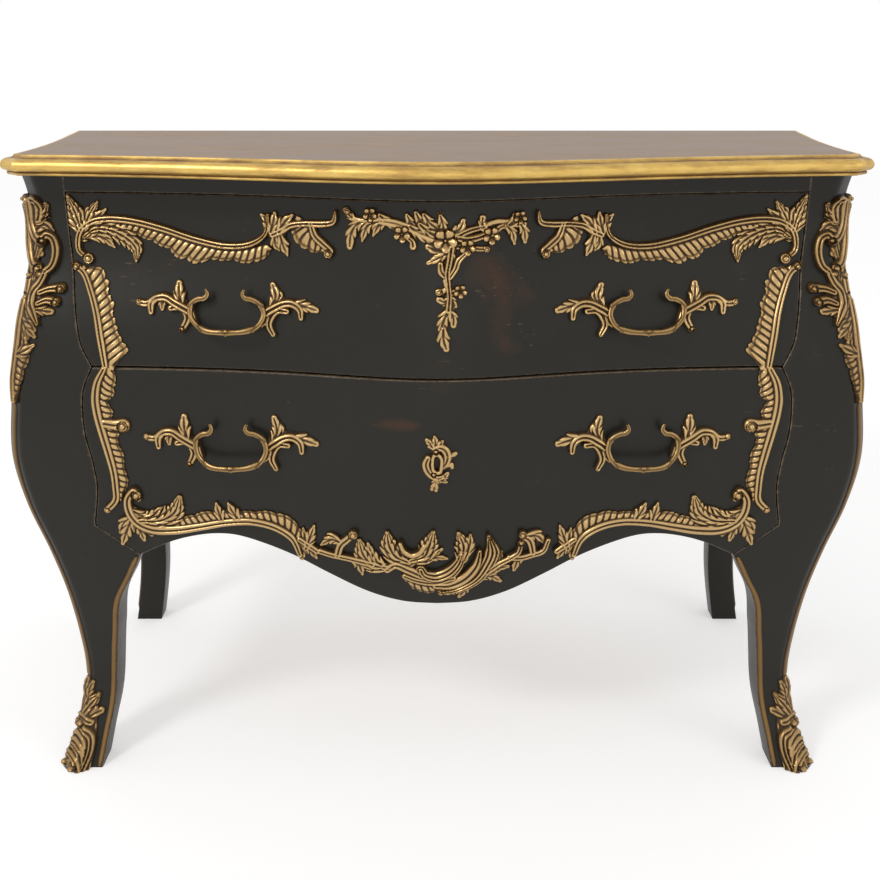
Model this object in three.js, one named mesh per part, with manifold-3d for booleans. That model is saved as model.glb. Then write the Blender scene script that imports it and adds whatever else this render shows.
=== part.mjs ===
// Commode chest with two drawers: a bombe carcase on cabriole legs, painted black, with gilt mounts.
// Millimetres, +Z up. X runs along the chest, the front looks along -Y, and the origin is on the floor
// under the middle of the top. Inside this file a place is (x, depth, z), where depth is counted
// forward from the flat back, because every curve of the chest swells away from that plane.
import * as THREE from "three";
import { mergeVertices } from "three/addons/utils/BufferGeometryUtils.js";
import Module from "manifold-3d";

const wasm = await Module();
wasm.setup();

// Overall sizes
const chestHeight = 880;
const topThickness = 27;
const carcaseHeight = chestHeight - topThickness;
const bodyHalfWidth = 584;
const cornerDepth = 474;
const centreDepth = 527;

// The top
const topFrontOverhang = 13;
const topCornerSetBack = 33;
const topCornerSetIn = 44;
const topBackOverhang = 20;
const topCentreDepth = centreDepth + topFrontOverhang;
const topCornerDepth = cornerDepth - topCornerSetBack;
const topCornerHalfWidth = bodyHalfWidth - topCornerSetIn;
const topBackHalfWidth = bodyHalfWidth + topBackOverhang;
const topCant = 13;
const topSwellWidth = 240;
const mouldingReach = 22;
const frontToBack = topCentreDepth + mouldingReach;

// Clearances
const seatGap = 0.3;
const mountGap = 1;
const drawerSideGap = 1.5;
const drawerTopGap = 1.5;
const divisionGap = 3.5;
const sleeveGap = 0.5;
const cutOverrun = 40;
const frontCutDepth = 240;

// Front serpentine: the middle swells forward in a bell that is wider under the top
const swellWidthLow = 145;
const swellWidthHigh = 170;
const swellSpreadLow = 600;
const swellSpreadHigh = 825;

// Corner posts, legs and sides
const bodyCant = 20;
const legCant = 12;
const cantFoot = 180;
const cantTop = 340;
const kneeFoot = 264;
const kneeTop = 316;
const stileThickness = 26;
const sideThickness = 18;
const postSideRun = 62;
const legThickness = 44;
const backPostDepth = 44;
const backPostWidth = 58;
const backLegWidth = 46;
const backPanelThickness = 7;
const backPanelSetIn = 44;
const backPanelHalfWidth = bodyHalfWidth - backPanelSetIn;
const sideFlareShare = 0.6;
const sideApronFoot = 318;
const sideApronRise = 34;

// The drawer openings
const stileWidth = 83;
const openingHalfWidth = bodyHalfWidth - stileWidth;
const topRailHeight = 25.5;
const openingTop = carcaseHeight - topRailHeight;
const upperOpeningHeight = 229;
const division = openingTop - upperOpeningHeight;
const earTopDrop = 227.5;
const earTop = division - earTopDrop;
const earHeight = 46;
const earFoot = earTop - earHeight;
const earWidth = 88;
const earFootHalfWidth = openingHalfWidth - earWidth;
const apronDrop = 60;
const apronFoot = earFoot - apronDrop;
const apronRise = 97;

// The drawers
const frontThickness = 24;
const drawerSetIn = 49;
const drawerHalfWidth = openingHalfWidth - drawerSetIn;
const boxThickness = 12;
const drawerBack = 30;
const drawerBottomThickness = 8;
const bottomGroove = 6;
const boxBackDrop = 8;
const upperBoxLift = 23.5;
const upperBoxFoot = division + upperBoxLift;
const upperBoxHeight = 172;
const lowerBoxDrop = 212.2;
const lowerBoxFoot = division - lowerBoxDrop;
const lowerBoxHeight = 200;

// The frame inside the carcase
const railHeight = 20;
const railLift = 2.5;
const railFoot = division + railLift;
const railDepth = 70;
const runnerLap = 20;
const runnerReach = 80;
const runnerInner = drawerHalfWidth - runnerLap;
const runnerOuter = drawerHalfWidth + runnerReach;
const guideHeight = 14;
const guideWidth = 15;
const guideGap = 1.2;
const dustBoardThickness = 8;
const bottomBoardDrop = 22.3;
const bottomBoardFoot = lowerBoxFoot - bottomBoardDrop;
const bottomBoardThickness = 12;
const backPanelDrop = 19;
const backPanelFoot = bottomBoardFoot - backPanelDrop;
const lowerRunnerHeight = lowerBoxFoot - bottomBoardFoot - bottomBoardThickness - 2 * seatGap;

// How the corner, the middle of the front and the back corner move with height, as shares of
// carcaseHeight, bodyHalfWidth, cornerDepth, centreDepth and bodyHalfWidth
const profileShares = [
  [0, 0.911, 1.0, 0.87, 0.938],
  [0.035, 0.897, 0.97, 0.87, 0.93],
  [0.13, 0.882, 0.911, 0.87, 0.915],
  [0.22, 0.887, 0.924, 0.885, 0.917],
  [0.293, 0.904, 0.945, 0.918, 0.928],
  [0.387, 0.943, 0.968, 0.954, 0.955],
  [0.47, 0.981, 0.987, 0.979, 0.985],
  [0.55, 1.0, 1.0, 0.997, 1.002],
  [0.633, 0.995, 0.994, 1.003, 1.007],
  [0.75, 0.978, 0.958, 0.996, 1.003],
  [0.88, 0.955, 0.88, 0.974, 0.993],
  [0.966, 0.959, 0.859, 0.962, 1.0],
  [1.0, 0.971, 0.863, 0.968, 1.003],
];

// The inner edge of the legs and of the two openings, as shares of carcaseHeight and openingHalfWidth
const legEdgeShares = [
  [0, 0.964],
  [0.047, 0.952],
  [0.092, 0.938],
  [0.162, 0.928],
  [0.229, 0.914],
  [0.3, 0.892],
  [0.339, 0.858],
  [0.381, 0.824],
];
const lowerEdgeShares = [
  [0.443, 0.942],
  [0.469, 0.934],
  [0.504, 0.926],
  [0.545, 0.931],
  [0.5955, 0.948],
  [0.633, 0.952],
  [0.666, 0.948],
  [0.7016, 0.924],
];
const upperEdgeShares = [
  [0.7016, 0.924],
  [0.736, 0.954],
  [0.768, 0.965],
  [0.809, 0.974],
  [0.859, 0.981],
  [0.911, 0.992],
  [0.97, 1.0],
];

// The scalloped lower edge of the front, as shares of earFootHalfWidth and apronRise
const apronShares = [
  [1, 0.63],
  [0.896, 0.845],
  [0.818, 0.948],
  [0.741, 1.0],
  [0.673, 0.99],
  [0.586, 0.887],
  [0.472, 0.69],
  [0.363, 0.443],
  [0.228, 0.165],
  [0.114, 0.031],
  [0, 0],
];

// A smooth curve through a table: its value at any height, with no overshoot at the ends
function smoothThrough(places, values) {
  const spans = places.slice(1).map((p, i) => p - places[i]);
  const rises = spans.map((span, i) => (values[i + 1] - values[i]) / span);
  const slopes = values.map((value, i) => {
    if (i === 0) return rises[0];
    if (i === values.length - 1) return rises[i - 1];
    const weight = spans[i - 1] + spans[i];
    return (spans[i] * rises[i - 1] + spans[i - 1] * rises[i]) / weight;
  });
  return (place) => {
    const inside = Math.min(Math.max(place, places[0]), places[places.length - 1]);
    let i = 0;
    while (i < spans.length - 1 && inside > places[i + 1]) i += 1;
    const t = (inside - places[i]) / spans[i];
    const pull = spans[i] * t * (1 - t);
    const hold = values[i] * (1 + 2 * t) * (1 - t) ** 2 + values[i + 1] * t * t * (3 - 2 * t);
    return hold + pull * ((1 - t) * slopes[i] - t * slopes[i + 1]);
  };
}

function alongHeight(column, size) {
  const heights = profileShares.map((row) => row[0] * carcaseHeight);
  return smoothThrough(heights, profileShares.map((row) => row[column] * size));
}

const cornerHalfWidth = alongHeight(1, bodyHalfWidth);
const cornerForward = alongHeight(2, cornerDepth);
const centreForward = alongHeight(3, centreDepth);
const backHalfWidth = alongHeight(4, bodyHalfWidth);

// 0 below the first height, 1 above the second, smooth between
const ramp = (z, from, to) => THREE.MathUtils.smoothstep(z, from, to);
const mix = THREE.MathUtils.lerp;
const bell = (x, width) => 1 / Math.cosh(x / width);
const cantAt = (z) => mix(legCant, bodyCant, ramp(z, cantFoot, cantTop));

// Depth of the front's face: the corners stay back and the middle swells forward
function frontDepth(x, z) {
  const width = mix(swellWidthLow, swellWidthHigh, ramp(z, swellSpreadLow, swellSpreadHigh));
  const rim = bell(cornerHalfWidth(z), width);
  const swell = Math.max(0, (bell(x, width) - rim) / (1 - rim));
  return mix(cornerForward(z), centreForward(z), swell);
}

// Half width of the chest at the sides: flat near the front post, flaring to the back
function sideWidth(depth, z) {
  const start = cornerForward(z) - cantAt(z);
  const t = Math.max(0, (start - depth) / start);
  const flare = t * t * (1 + sideFlareShare - sideFlareShare * t);
  return mix(cornerHalfWidth(z), backHalfWidth(z), flare);
}

const edgeCurve = (shares) =>
  smoothThrough(
    shares.map((row) => row[0] * carcaseHeight),
    shares.map((row) => row[1] * openingHalfWidth),
  );
const legEdge = edgeCurve(legEdgeShares);
const lowerEdge = edgeCurve(lowerEdgeShares);
const upperEdge = edgeCurve(upperEdgeShares);

// Inner edge of the post's front face, from the floor to the top
function postEdge(z) {
  if (z <= earFoot) return legEdge(z);
  if (z < earTop) return mix(legEdge(earFoot), lowerEdge(earTop), (z - earFoot) / (earTop - earFoot));
  return z <= division ? lowerEdge(z) : upperEdge(z);
}

const cornerPoint = (x, depth, z) => new THREE.Vector3(x, frontToBack / 2 - depth, z);

// A closed mesh from points and triangles, turned so that its faces look out
function closedMesh(points, triangles) {
  const volume = triangles.reduce((sum, [a, b, c]) => {
    return sum + points[a].dot(new THREE.Vector3().crossVectors(points[b], points[c]));
  }, 0);
  const index = volume < 0 ? triangles.map(([a, b, c]) => [a, c, b]) : triangles;
  const geometry = new THREE.BufferGeometry();
  const flat = points.flatMap((p) => [p.x, p.y, p.z]);
  geometry.setAttribute("position", new THREE.Float32BufferAttribute(flat, 3));
  geometry.setIndex(index.flat());
  return geometry;
}

// Triangles of a flat ring of points, seen along the axis where it is broadest
function capOf(points, ring) {
  const corners = ring.map((i) => points[i]);
  const normal = new THREE.Vector3();
  corners.forEach((p, i) => {
    normal.add(new THREE.Vector3().crossVectors(p, corners[(i + 1) % corners.length]));
  });
  const size = [Math.abs(normal.x), Math.abs(normal.y), Math.abs(normal.z)];
  const drop = size.indexOf(Math.max(...size));
  const [u, v] = ["yz", "xz", "xy"][drop];
  const flat = corners.map((p) => new THREE.Vector2(p[u], p[v]));
  const cap = THREE.ShapeUtils.triangulateShape(flat, []);
  return cap.map((triangle) => triangle.map((i) => ring[i]));
}

// Cap triangles run against the wall's own edges, so that the shell closes
function facing(cap, wall) {
  const edges = new Set(wall.flatMap(([a, b, c]) => [a + "," + b, b + "," + c, c + "," + a]));
  const clash = cap.some(([a, b, c]) => {
    return edges.has(a + "," + b) || edges.has(b + "," + c) || edges.has(c + "," + a);
  });
  return clash ? cap.map(([a, b, c]) => [a, c, b]) : cap;
}

// A solid lofted through rings that all have the same number of points
function loft(rings) {
  const count = rings[0].length;
  const points = rings.flat();
  const walls = [];
  for (let r = 0; r < rings.length - 1; r += 1) {
    for (let i = 0; i < count; i += 1) {
      const a = r * count + i;
      const b = r * count + ((i + 1) % count);
      walls.push([a, b, b + count], [a, b + count, a + count]);
    }
  }
  const first = capOf(points, rings[0].map((p, i) => i));
  const last = capOf(points, rings[0].map((p, i) => points.length - count + i));
  return closedMesh(points, [...walls, ...facing(first, walls), ...facing(last, walls)]);
}

// A curved board: an outer and an inner face on the same rows and columns, closed round its rim
function curvedBoard(outer, inner) {
  const rings = outer.map((column, c) => [...column, ...[...inner[c]].reverse()]);
  const count = rings[0].length;
  const half = count / 2;
  const points = rings.flat();
  const triangles = [];
  for (let r = 0; r < rings.length - 1; r += 1) {
    for (let i = 0; i < count; i += 1) {
      const a = r * count + i;
      const b = r * count + ((i + 1) % count);
      triangles.push([a, b, b + count], [a, b + count, a + count]);
    }
  }
  for (const start of [0, points.length - count]) {
    const end = [];
    for (let i = 0; i < half - 1; i += 1) {
      const a = start + i;
      const far = start + count - 1 - i;
      end.push([a, a + 1, far - 1], [a, far - 1, far]);
    }
    triangles.push(...facing(end, triangles));
  }
  return closedMesh(points, triangles);
}

// A geometry with its positions and triangles only, each corner stored once
function bareOf(geometry) {
  const bare = geometry.clone();
  bare.deleteAttribute("normal");
  bare.deleteAttribute("uv");
  return mergeVertices(bare, seatGap / 1000);
}

// Booleans
function solidOf(geometry) {
  const merged = bareOf(geometry);
  const mesh = new wasm.Mesh({
    numProp: 3,
    vertProperties: new Float32Array(merged.attributes.position.array),
    triVerts: new Uint32Array(merged.index.array),
  });
  return new wasm.Manifold(mesh);
}

function geometryOf(solid) {
  const mesh = solid.getMesh();
  const geometry = new THREE.BufferGeometry();
  const positions = [];
  for (let i = 0; i < mesh.numVert; i += 1) {
    const start = i * mesh.numProp;
    positions.push(...mesh.vertProperties.slice(start, start + mesh.numProp));
  }
  geometry.setAttribute("position", new THREE.Float32BufferAttribute(positions, 3));
  geometry.setIndex([...mesh.triVerts]);
  return geometry;
}

const joined = (geometries) =>
  geometryOf(geometries.map(solidOf).reduce((whole, piece) => whole.add(piece)));
const cutBy = (geometry, tools) =>
  geometryOf(tools.map(solidOf).reduce((whole, tool) => whole.subtract(tool), solidOf(geometry)));
const keptInside = (geometry, tool) => geometryOf(solidOf(geometry).intersect(solidOf(tool)));

// A block between two corners, given as (x, depth, z)
function block(low, high) {
  const size = high.map((value, i) => value - low[i]);
  const box = new THREE.BoxGeometry(size[0], size[1], size[2]);
  const middle = high.map((value, i) => (value + low[i]) / 2);
  const place = cornerPoint(middle[0], middle[1], middle[2]);
  return box.translate(place.x, place.y, place.z);
}

// A flat board: its outline in plan, as (x, depth) points, between two heights
function planBoard(outline, foot, top) {
  const shape = new THREE.Shape(outline.map(([x, depth]) => new THREE.Vector2(x, -depth)));
  const board = new THREE.ExtrudeGeometry(shape, { depth: top - foot, bevelEnabled: false });
  return board.translate(0, frontToBack / 2, foot);
}

// A prism through the front, from its outline as (x, z) points, between two depths
function frontPrism(outline, backDepth, faceDepth) {
  const shape = new THREE.Shape(outline.map(([x, z]) => new THREE.Vector2(x, z)));
  const length = faceDepth - backDepth;
  const prism = new THREE.ExtrudeGeometry(shape, { depth: length, bevelEnabled: false });
  return prism.rotateX(Math.PI / 2).translate(0, frontToBack / 2 - backDepth, 0);
}

// A board that stands front to back: its outline as (depth, z) points, between two widths
function sideBoard(outline, innerX, outerX) {
  const shape = new THREE.Shape(outline.map(([depth, z]) => new THREE.Vector2(-depth, z)));
  const board = new THREE.ExtrudeGeometry(shape, { depth: outerX - innerX, bevelEnabled: false });
  board.rotateX(Math.PI / 2).rotateZ(Math.PI / 2);
  return board.translate(innerX, frontToBack / 2, 0);
}

const mirrored = (outline) => {
  const left = outline.filter(([x]) => x !== 0).reverse();
  return [...outline, ...left.map(([x, y]) => [-x, y])];
};
const steps = (from, to, count) =>
  Array.from({ length: count + 1 }, (unused, i) => mix(from, to, i / count));

// The same piece on the other side of the chest
function mirrorOf(geometry) {
  const flipped = bareOf(geometry);
  const positions = flipped.attributes.position;
  for (let i = 0; i < positions.count; i += 1) positions.setX(i, -positions.getX(i));
  const index = [...flipped.index.array];
  for (let i = 0; i < index.length; i += 3) [index[i + 1], index[i + 2]] = [index[i + 2], index[i + 1]];
  flipped.setIndex(index);
  return flipped;
}

// Stations across the front, closer together where the swell bends most
const swellHalf = 150;
const middleStations = 5;
const flankStations = 7;
function acrossStations(halfWidth) {
  const middle = steps(0, swellHalf, middleStations);
  const flank = steps(swellHalf, halfWidth, flankStations).slice(1);
  const right = [...middle, ...flank];
  return [...right.slice(1).reverse().map((x) => -x), ...right];
}

// The top panel and the moulding round its edge

// Right half of the panel's edge from the middle of the front to the back, as (x, depth)
const topFrontStations = 9;
const topSideStations = 6;
function topEdge() {
  const rim = bell(topCornerHalfWidth, topSwellWidth);
  const front = steps(0, topCornerHalfWidth, topFrontStations).map((x) => {
    const swell = (bell(x, topSwellWidth) - rim) / (1 - rim);
    return [x, mix(topCornerDepth, topCentreDepth, swell)];
  });
  const sideStart = topCornerDepth - topCant;
  const sideHalfWidth = topCornerHalfWidth + topCant;
  const side = steps(0, 1, topSideStations).map((t) => {
    const flare = t * t * (1 + sideFlareShare - sideFlareShare * t);
    return [mix(sideHalfWidth, topBackHalfWidth, flare), mix(sideStart, 0, t)];
  });
  return { front, side };
}

function topPanel() {
  const { front, side } = topEdge();
  return planBoard(mirrored([...front, ...side]), carcaseHeight + seatGap, chestHeight);
}

// Section of the moulding: outward and downward from the panel's top edge, as shares of
// mouldingReach and topThickness
const mouldingShares = [
  [0, 0],
  [0.22, 0],
  [0.28, 0.12],
  [0.7, 0.18],
  [1, 0.5],
  [0.9, 0.72],
  [0.6, 0.84],
  [0.6, 1],
  [0, 1],
];

// Rings of the moulding along part of the panel's edge; its ends are mitred to their neighbours
function mouldingRun(edge, from, to) {
  const turnAt = (i) => {
    const before = edge[Math.max(0, i - 1)];
    const after = edge[Math.min(edge.length - 1, i + 1)];
    const here = edge[i];
    const inward = new THREE.Vector2(here[0] - before[0], here[1] - before[1]);
    const onward = new THREE.Vector2(after[0] - here[0], after[1] - here[1]);
    const a = i === 0 ? onward.clone() : inward.clone();
    const b = i === edge.length - 1 ? inward.clone() : onward.clone();
    a.normalize();
    b.normalize();
    const normal = new THREE.Vector2(a.y + b.y, -a.x - b.x).normalize();
    const spread = normal.dot(new THREE.Vector2(a.y, -a.x));
    return { normal: normal.divideScalar(spread), a, b };
  };
  const rings = [];
  for (let i = from; i <= to; i += 1) {
    const { normal, a, b } = turnAt(i);
    const shift = new THREE.Vector2();
    if (i === from && i > 0) shift.addScaledVector(b, seatGap);
    if (i === to && i < edge.length - 1) shift.addScaledVector(a, -seatGap);
    const ring = mouldingShares.map(([out, down]) => {
      const reach = mix(seatGap, mouldingReach, out);
      const x = edge[i][0] + normal.x * reach + shift.x;
      const depth = Math.max(0, edge[i][1] + normal.y * reach + shift.y);
      return cornerPoint(x, depth, chestHeight - down * (topThickness - seatGap));
    });
    rings.push(ring);
  }
  return loft(rings);
}

function topMouldings() {
  const { front, side } = topEdge();
  const right = [...front, ...side];
  const left = [...right].reverse().map(([x, depth]) => [-x, depth]);
  const edge = [...left.slice(0, -1), ...right].reverse();
  const sideSpan = side.length - 1;
  const frontSpan = 2 * (front.length - 1);
  const last = edge.length - 1;
  return {
    sideRight: mouldingRun(edge, 0, sideSpan),
    cornerRight: mouldingRun(edge, sideSpan, sideSpan + 1),
    front: mouldingRun(edge, sideSpan + 1, sideSpan + 1 + frontSpan),
    cornerLeft: mouldingRun(edge, last - sideSpan - 1, last - sideSpan),
    sideLeft: mouldingRun(edge, last - sideSpan, last),
  };
}

// Heights where the posts have a ring: the turning points of their edges among them
const postHeightShares = [
  0, 0.02, 0.055, 0.095, 0.12, 0.145, 0.18, 0.225, 0.275, 0.315, 0.348, 0.381, 0.408, 0.435,
  0.475, 0.51, 0.55, 0.593, 0.633, 0.668, 0.7016, 0.736, 0.772, 0.815, 0.86, 0.91, 0.9701, 1,
];
const postHeights = postHeightShares.map((share) => share * carcaseHeight);

// How far back the front post's side part reaches
function postBack(z) {
  return cornerForward(z) - mix(legThickness, postSideRun, ramp(z, kneeFoot, kneeTop));
}

// The front corner post and its cabriole leg are one piece: an angle above, a full leg below
function frontPost() {
  const rings = postHeights.map((z) => {
    const board = ramp(z, kneeFoot, kneeTop);
    const inner = postEdge(z);
    const face = frontDepth(inner, z);
    const corner = cornerForward(z);
    const cant = cantAt(z);
    const back = postBack(z);
    const outer = sideWidth(back, z);
    const elbow = corner - stileThickness;
    const solid = [
      [mix(outer, inner, 1 / 3), back],
      [mix(outer, inner, 2 / 3), back],
      [inner, back],
    ];
    const angle = [
      [outer - sideThickness, back],
      [sideWidth(elbow, z) - sideThickness, elbow],
      [inner, face - stileThickness],
    ];
    const rear = solid.map(([x, depth], i) => [mix(x, angle[i][0], board), mix(depth, angle[i][1], board)]);
    const section = [
      [inner, face],
      [cornerHalfWidth(z) - cant, corner],
      [cornerHalfWidth(z), corner - cant],
      [outer, back],
      ...rear,
    ];
    return section.map(([x, depth]) => cornerPoint(x, depth, z));
  });
  return loft(rings);
}

const backPostHeightShares = [0, 0.05, 0.11, 0.17, 0.24, 0.31, 0.39, 0.47, 0.55, 0.633, 0.75, 0.88, 1];

const backPostHeights = backPostHeightShares.map((share) => share * carcaseHeight);

function backPost() {
  const rings = backPostHeights.map((z) => {
    const width = mix(backLegWidth, backPostWidth, ramp(z, kneeFoot, kneeTop));
    const back = backPanelThickness + seatGap;
    const outer = backHalfWidth(z);
    const section = [
      [sideWidth(back, z), back],
      [sideWidth(backPostDepth, z), backPostDepth],
      [outer - width, backPostDepth],
      [outer - width, back],
    ];
    return section.map(([x, depth]) => cornerPoint(x, depth, z));
  });
  return loft(rings);
}

const sidePanelColumns = 5;

function sidePanel() {
  const outer = [];
  const inner = [];
  for (const across of steps(0, 1, sidePanelColumns)) {
    const foot = sideApronFoot + sideApronRise * Math.sin(Math.PI * across) ** 2;
    const heights = [foot, ...postHeights.filter((z) => z > sideApronFoot + sideApronRise)];
    const column = heights.map((z) => {
      const depth = mix(postBack(z) - seatGap, backPostDepth + seatGap, across);
      return [sideWidth(depth, z), depth, z];
    });
    outer.push(column.map(([x, depth, z]) => cornerPoint(x, depth, z)));
    inner.push(column.map(([x, depth, z]) => cornerPoint(x - sideThickness, depth, z)));
  }
  return curvedBoard(outer, inner);
}

function backPanel() {
  const low = [-backPanelHalfWidth, 0, backPanelFoot];
  return block(low, [backPanelHalfWidth, backPanelThickness, carcaseHeight]);
}

// A slab bent to the front's face: how far it lies behind the face, and its thickness
function bentSlab(stations, heights, behind, thickness) {
  const layer = (back) =>
    stations.map((x) => heights.map((z) => cornerPoint(x, frontDepth(x, z) - back, z)));
  return curvedBoard(layer(behind), layer(behind + thickness));
}

function friezeRail() {
  const stations = acrossStations(openingHalfWidth - seatGap);
  return bentSlab(stations, [openingTop, carcaseHeight], 0, frontThickness);
}

// Depth of the back of a drawer front over a stretch of height: the shallowest place counts
const behindFront = (x, heights) =>
  Math.min(...heights.map((z) => frontDepth(x, z))) - frontThickness;

// The rail between the drawers sits behind their fronts and is let in behind the posts' stiles
const railClearance = stileThickness - frontThickness + 2 * seatGap;
const railBack = () => behindFront(openingHalfWidth, [railFoot + railHeight]) - railDepth;

function dividerRail() {
  const top = railFoot + railHeight;
  const heights = [railFoot, top];
  const end = Math.min(...heights.map((z) => sideWidth(cornerForward(z) - stileThickness, z)));
  const halfWidth = end - sideThickness - seatGap;
  const front = acrossStations(halfWidth).filter((x) => x >= 0);
  const outline = front.map((x) => [x, behindFront(x, heights) - railClearance]);
  const rail = planBoard(mirrored([...outline, [halfWidth, railBack()]]), railFoot, top);
  return cutBy(rail, [strikeSlot()]);
}

function rearRail() {
  const heights = [railFoot, railFoot + railHeight];
  const halfWidth = Math.min(...heights.map(backHalfWidth)) - backPostWidth - seatGap;
  const back = backPanelThickness + seatGap;
  return block([-halfWidth, back, railFoot], [halfWidth, backPostDepth, railFoot + railHeight]);
}

// An L-shaped runner: the drawer's side slides on its flat and along its upstand
function runner(foot, height, back, front, outer) {
  const top = foot + height;
  const guide = drawerHalfWidth + guideGap;
  const section = [
    [runnerInner, foot],
    [outer, foot],
    [outer, top],
    [guide + guideWidth, top],
    [guide + guideWidth, top + guideHeight],
    [guide, top + guideHeight],
    [guide, top],
    [runnerInner, top],
  ];
  return frontPrism(section, back, front);
}

function upperRunner() {
  const height = upperBoxFoot - railFoot - seatGap;
  return runner(railFoot, height, backPostDepth + seatGap, railBack() - seatGap, runnerOuter);
}

function lowerRunner() {
  const foot = bottomBoardFoot + bottomBoardThickness + seatGap;
  const edge = drawerHalfWidth + guideGap + guideWidth;
  const front = behindFront(edge, [foot]) - railClearance - bottomGroove;
  return runner(foot, lowerRunnerHeight, backPanelThickness + sleeveGap, front, edge);
}

function dustBoard() {
  const foot = railFoot + bottomGroove;
  const halfWidth = runnerInner - seatGap;
  const low = [-halfWidth, backPostDepth + seatGap, foot];
  return block(low, [halfWidth, railBack() - seatGap, foot + dustBoardThickness]);
}

function bottomBoard() {
  const top = bottomBoardFoot + bottomBoardThickness;
  const heights = [bottomBoardFoot, top];
  const inner = lowerEdge(earTop) - seatGap - drawerSideGap;
  const insideAt = (depth) =>
    Math.min(...heights.map((z) => sideWidth(depth, z))) - sideThickness - seatGap;
  const front = acrossStations(inner).filter((x) => x >= 0);
  const elbow = Math.min(...heights.map(cornerForward)) - stileThickness - seatGap;
  const outline = front.map((x) => [x, behindFront(x, heights) - railClearance]);
  const back = backPanelThickness + seatGap;
  const postFace = backPostDepth + seatGap;
  const postInner = Math.min(...heights.map(backHalfWidth)) - backPostWidth - seatGap;
  for (const depth of steps(elbow, postFace, sidePanelColumns)) outline.push([insideAt(depth), depth]);
  outline.push([postInner, postFace], [postInner, back]);
  return planBoard(mirrored(outline), bottomBoardFoot, top);
}

// The drawers

// Outline of a drawer opening's side between two heights, narrowed by the gap
function sideLine(from, to) {
  const inside = postHeights.filter((z) => z > from && z < to);
  const heights = [from, ...inside, to];
  return heights.map((z) => [postEdge(z) - drawerSideGap, z]);
}

const upperFrontFoot = division + divisionGap / 2;
const lowerFrontTop = division - divisionGap / 2;
const upperFrontTop = openingTop - drawerTopGap;
const upperFrontRows = 6;
const lowerFrontRows = 7;
const apronSteps = 14;

const upperRowHeights = steps(upperFrontFoot, upperFrontTop, upperFrontRows);
const lowerRowHeights = steps(apronFoot - seatGap, lowerFrontTop, lowerFrontRows);

// The back of a drawer front, straight between the rows of heights that shape it
function frontBack(x, z, rows) {
  const i = Math.max(0, rows.findLastIndex((height, at) => height <= z && at < rows.length - 1));
  const share = (z - rows[i]) / (rows[i + 1] - rows[i]);
  return mix(frontDepth(x, rows[i]), frontDepth(x, rows[i + 1]), share) - frontThickness;
}

function cutFront(outline, rows) {
  const board = bentSlab(acrossStations(openingHalfWidth), rows, 0, frontThickness);
  const prism = frontPrism(outline, frontCutDepth, centreDepth + cutOverrun);
  return keptInside(board, prism);
}

function upperFront() {
  const outline = mirrored(sideLine(upperFrontFoot, upperFrontTop));
  return cutBy(cutFront(outline, upperRowHeights), handleHoles(upperHandleField));
}

function lowerFront() {
  const points = apronShares.map(([x, z]) => {
    return new THREE.Vector2(x * (earFootHalfWidth - drawerSideGap), apronFoot + z * apronRise);
  });
  const apron = new THREE.SplineCurve([...points].reverse()).getPoints(apronSteps);
  const ear = sideLine(earFoot, earTop).slice(1, -1);
  const side = sideLine(earTop, lowerFrontTop);
  const outline = mirrored([...apron.map((p) => [p.x, p.y]), ...ear, ...side]);
  const holes = handleHoles(lowerHandleField);
  return cutBy(cutFront(outline, lowerRowHeights), [...holes, keyholeTool()]);
}

function drawerSide(foot, height, rows) {
  const top = foot + height;
  const heights = [foot, ...rows.filter((z) => z > foot && z < top), top];
  const front = heights.map((z) => [frontBack(drawerHalfWidth, z, rows) - seatGap, z]);
  const outline = [[drawerBack, foot], ...front, [drawerBack, top]];
  return sideBoard(outline, drawerHalfWidth - boxThickness, drawerHalfWidth);
}

function drawerBackBoard(foot, height) {
  const halfWidth = drawerHalfWidth - boxThickness - seatGap;
  const low = [-halfWidth, drawerBack, foot];
  return block(low, [halfWidth, drawerBack + boxThickness, foot + height - boxBackDrop]);
}

function drawerBottom(foot, rows) {
  const halfWidth = drawerHalfWidth - boxThickness - seatGap;
  const low = foot + bottomGroove;
  const top = low + drawerBottomThickness;
  const outline = acrossStations(halfWidth)
    .filter((x) => x >= 0)
    .map((x) => [x, Math.min(frontBack(x, low, rows), frontBack(x, top, rows)) - sleeveGap]);
  outline.push([halfWidth, drawerBack + boxThickness + seatGap]);
  return planBoard(mirrored(outline), low, top);
}

// The lock: a plate on the back of the lower front, a case, and a bolt that rises into the rail

const keyholeDrop = 110.5;
const keyholeHeight = division - keyholeDrop;
const keyholeRadius = 4.2;
const keySlotHalfWidth = 2.6;
const keySlotLength = 13;
const lockPlateThickness = 2;
const lockPlateHalfWidth = 20;
const lockPlateFootDrop = 146.5;
const lockPlateFoot = division - lockPlateFootDrop;
const lockCaseHalfWidth = 32;
const lockCaseTopDrop = 76.5;
const lockCaseTop = division - lockCaseTopDrop;
const lockSetBack = 47;
const lockBack = centreDepth - lockSetBack;
const stapleHalfWidth = 12;
const stapleFootDrop = 26.5;
const stapleFoot = division - stapleFootDrop;
const stapleTopDrop = 14.5;
const stapleTop = division - stapleTopDrop;
const boltHalfWidth = 7;
const boltSetBack = 43;
const boltBack = centreDepth - boltSetBack;
const boltThickness = 5;
const boltFace = boltBack + boltThickness;
const boltFootDrop = 128.5;
const boltFoot = division - boltFootDrop;
const boltTopDrop = 2;
const boltTop = division - boltTopDrop;
const strikeTopLift = 14.5;
const strikeTop = division + strikeTopLift;
const strikeGap = 1.5;

function keyholeTool() {
  const outline = [];
  for (const angle of steps(-Math.PI / 4, (5 * Math.PI) / 4, 9)) {
    outline.push([keyholeRadius * Math.cos(angle), keyholeHeight + keyholeRadius * Math.sin(angle)]);
  }
  const foot = keyholeHeight - keySlotLength;
  outline.push([-keySlotHalfWidth, foot], [keySlotHalfWidth, foot]);
  return frontPrism(outline, boltFace, centreDepth + cutOverrun);
}

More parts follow.
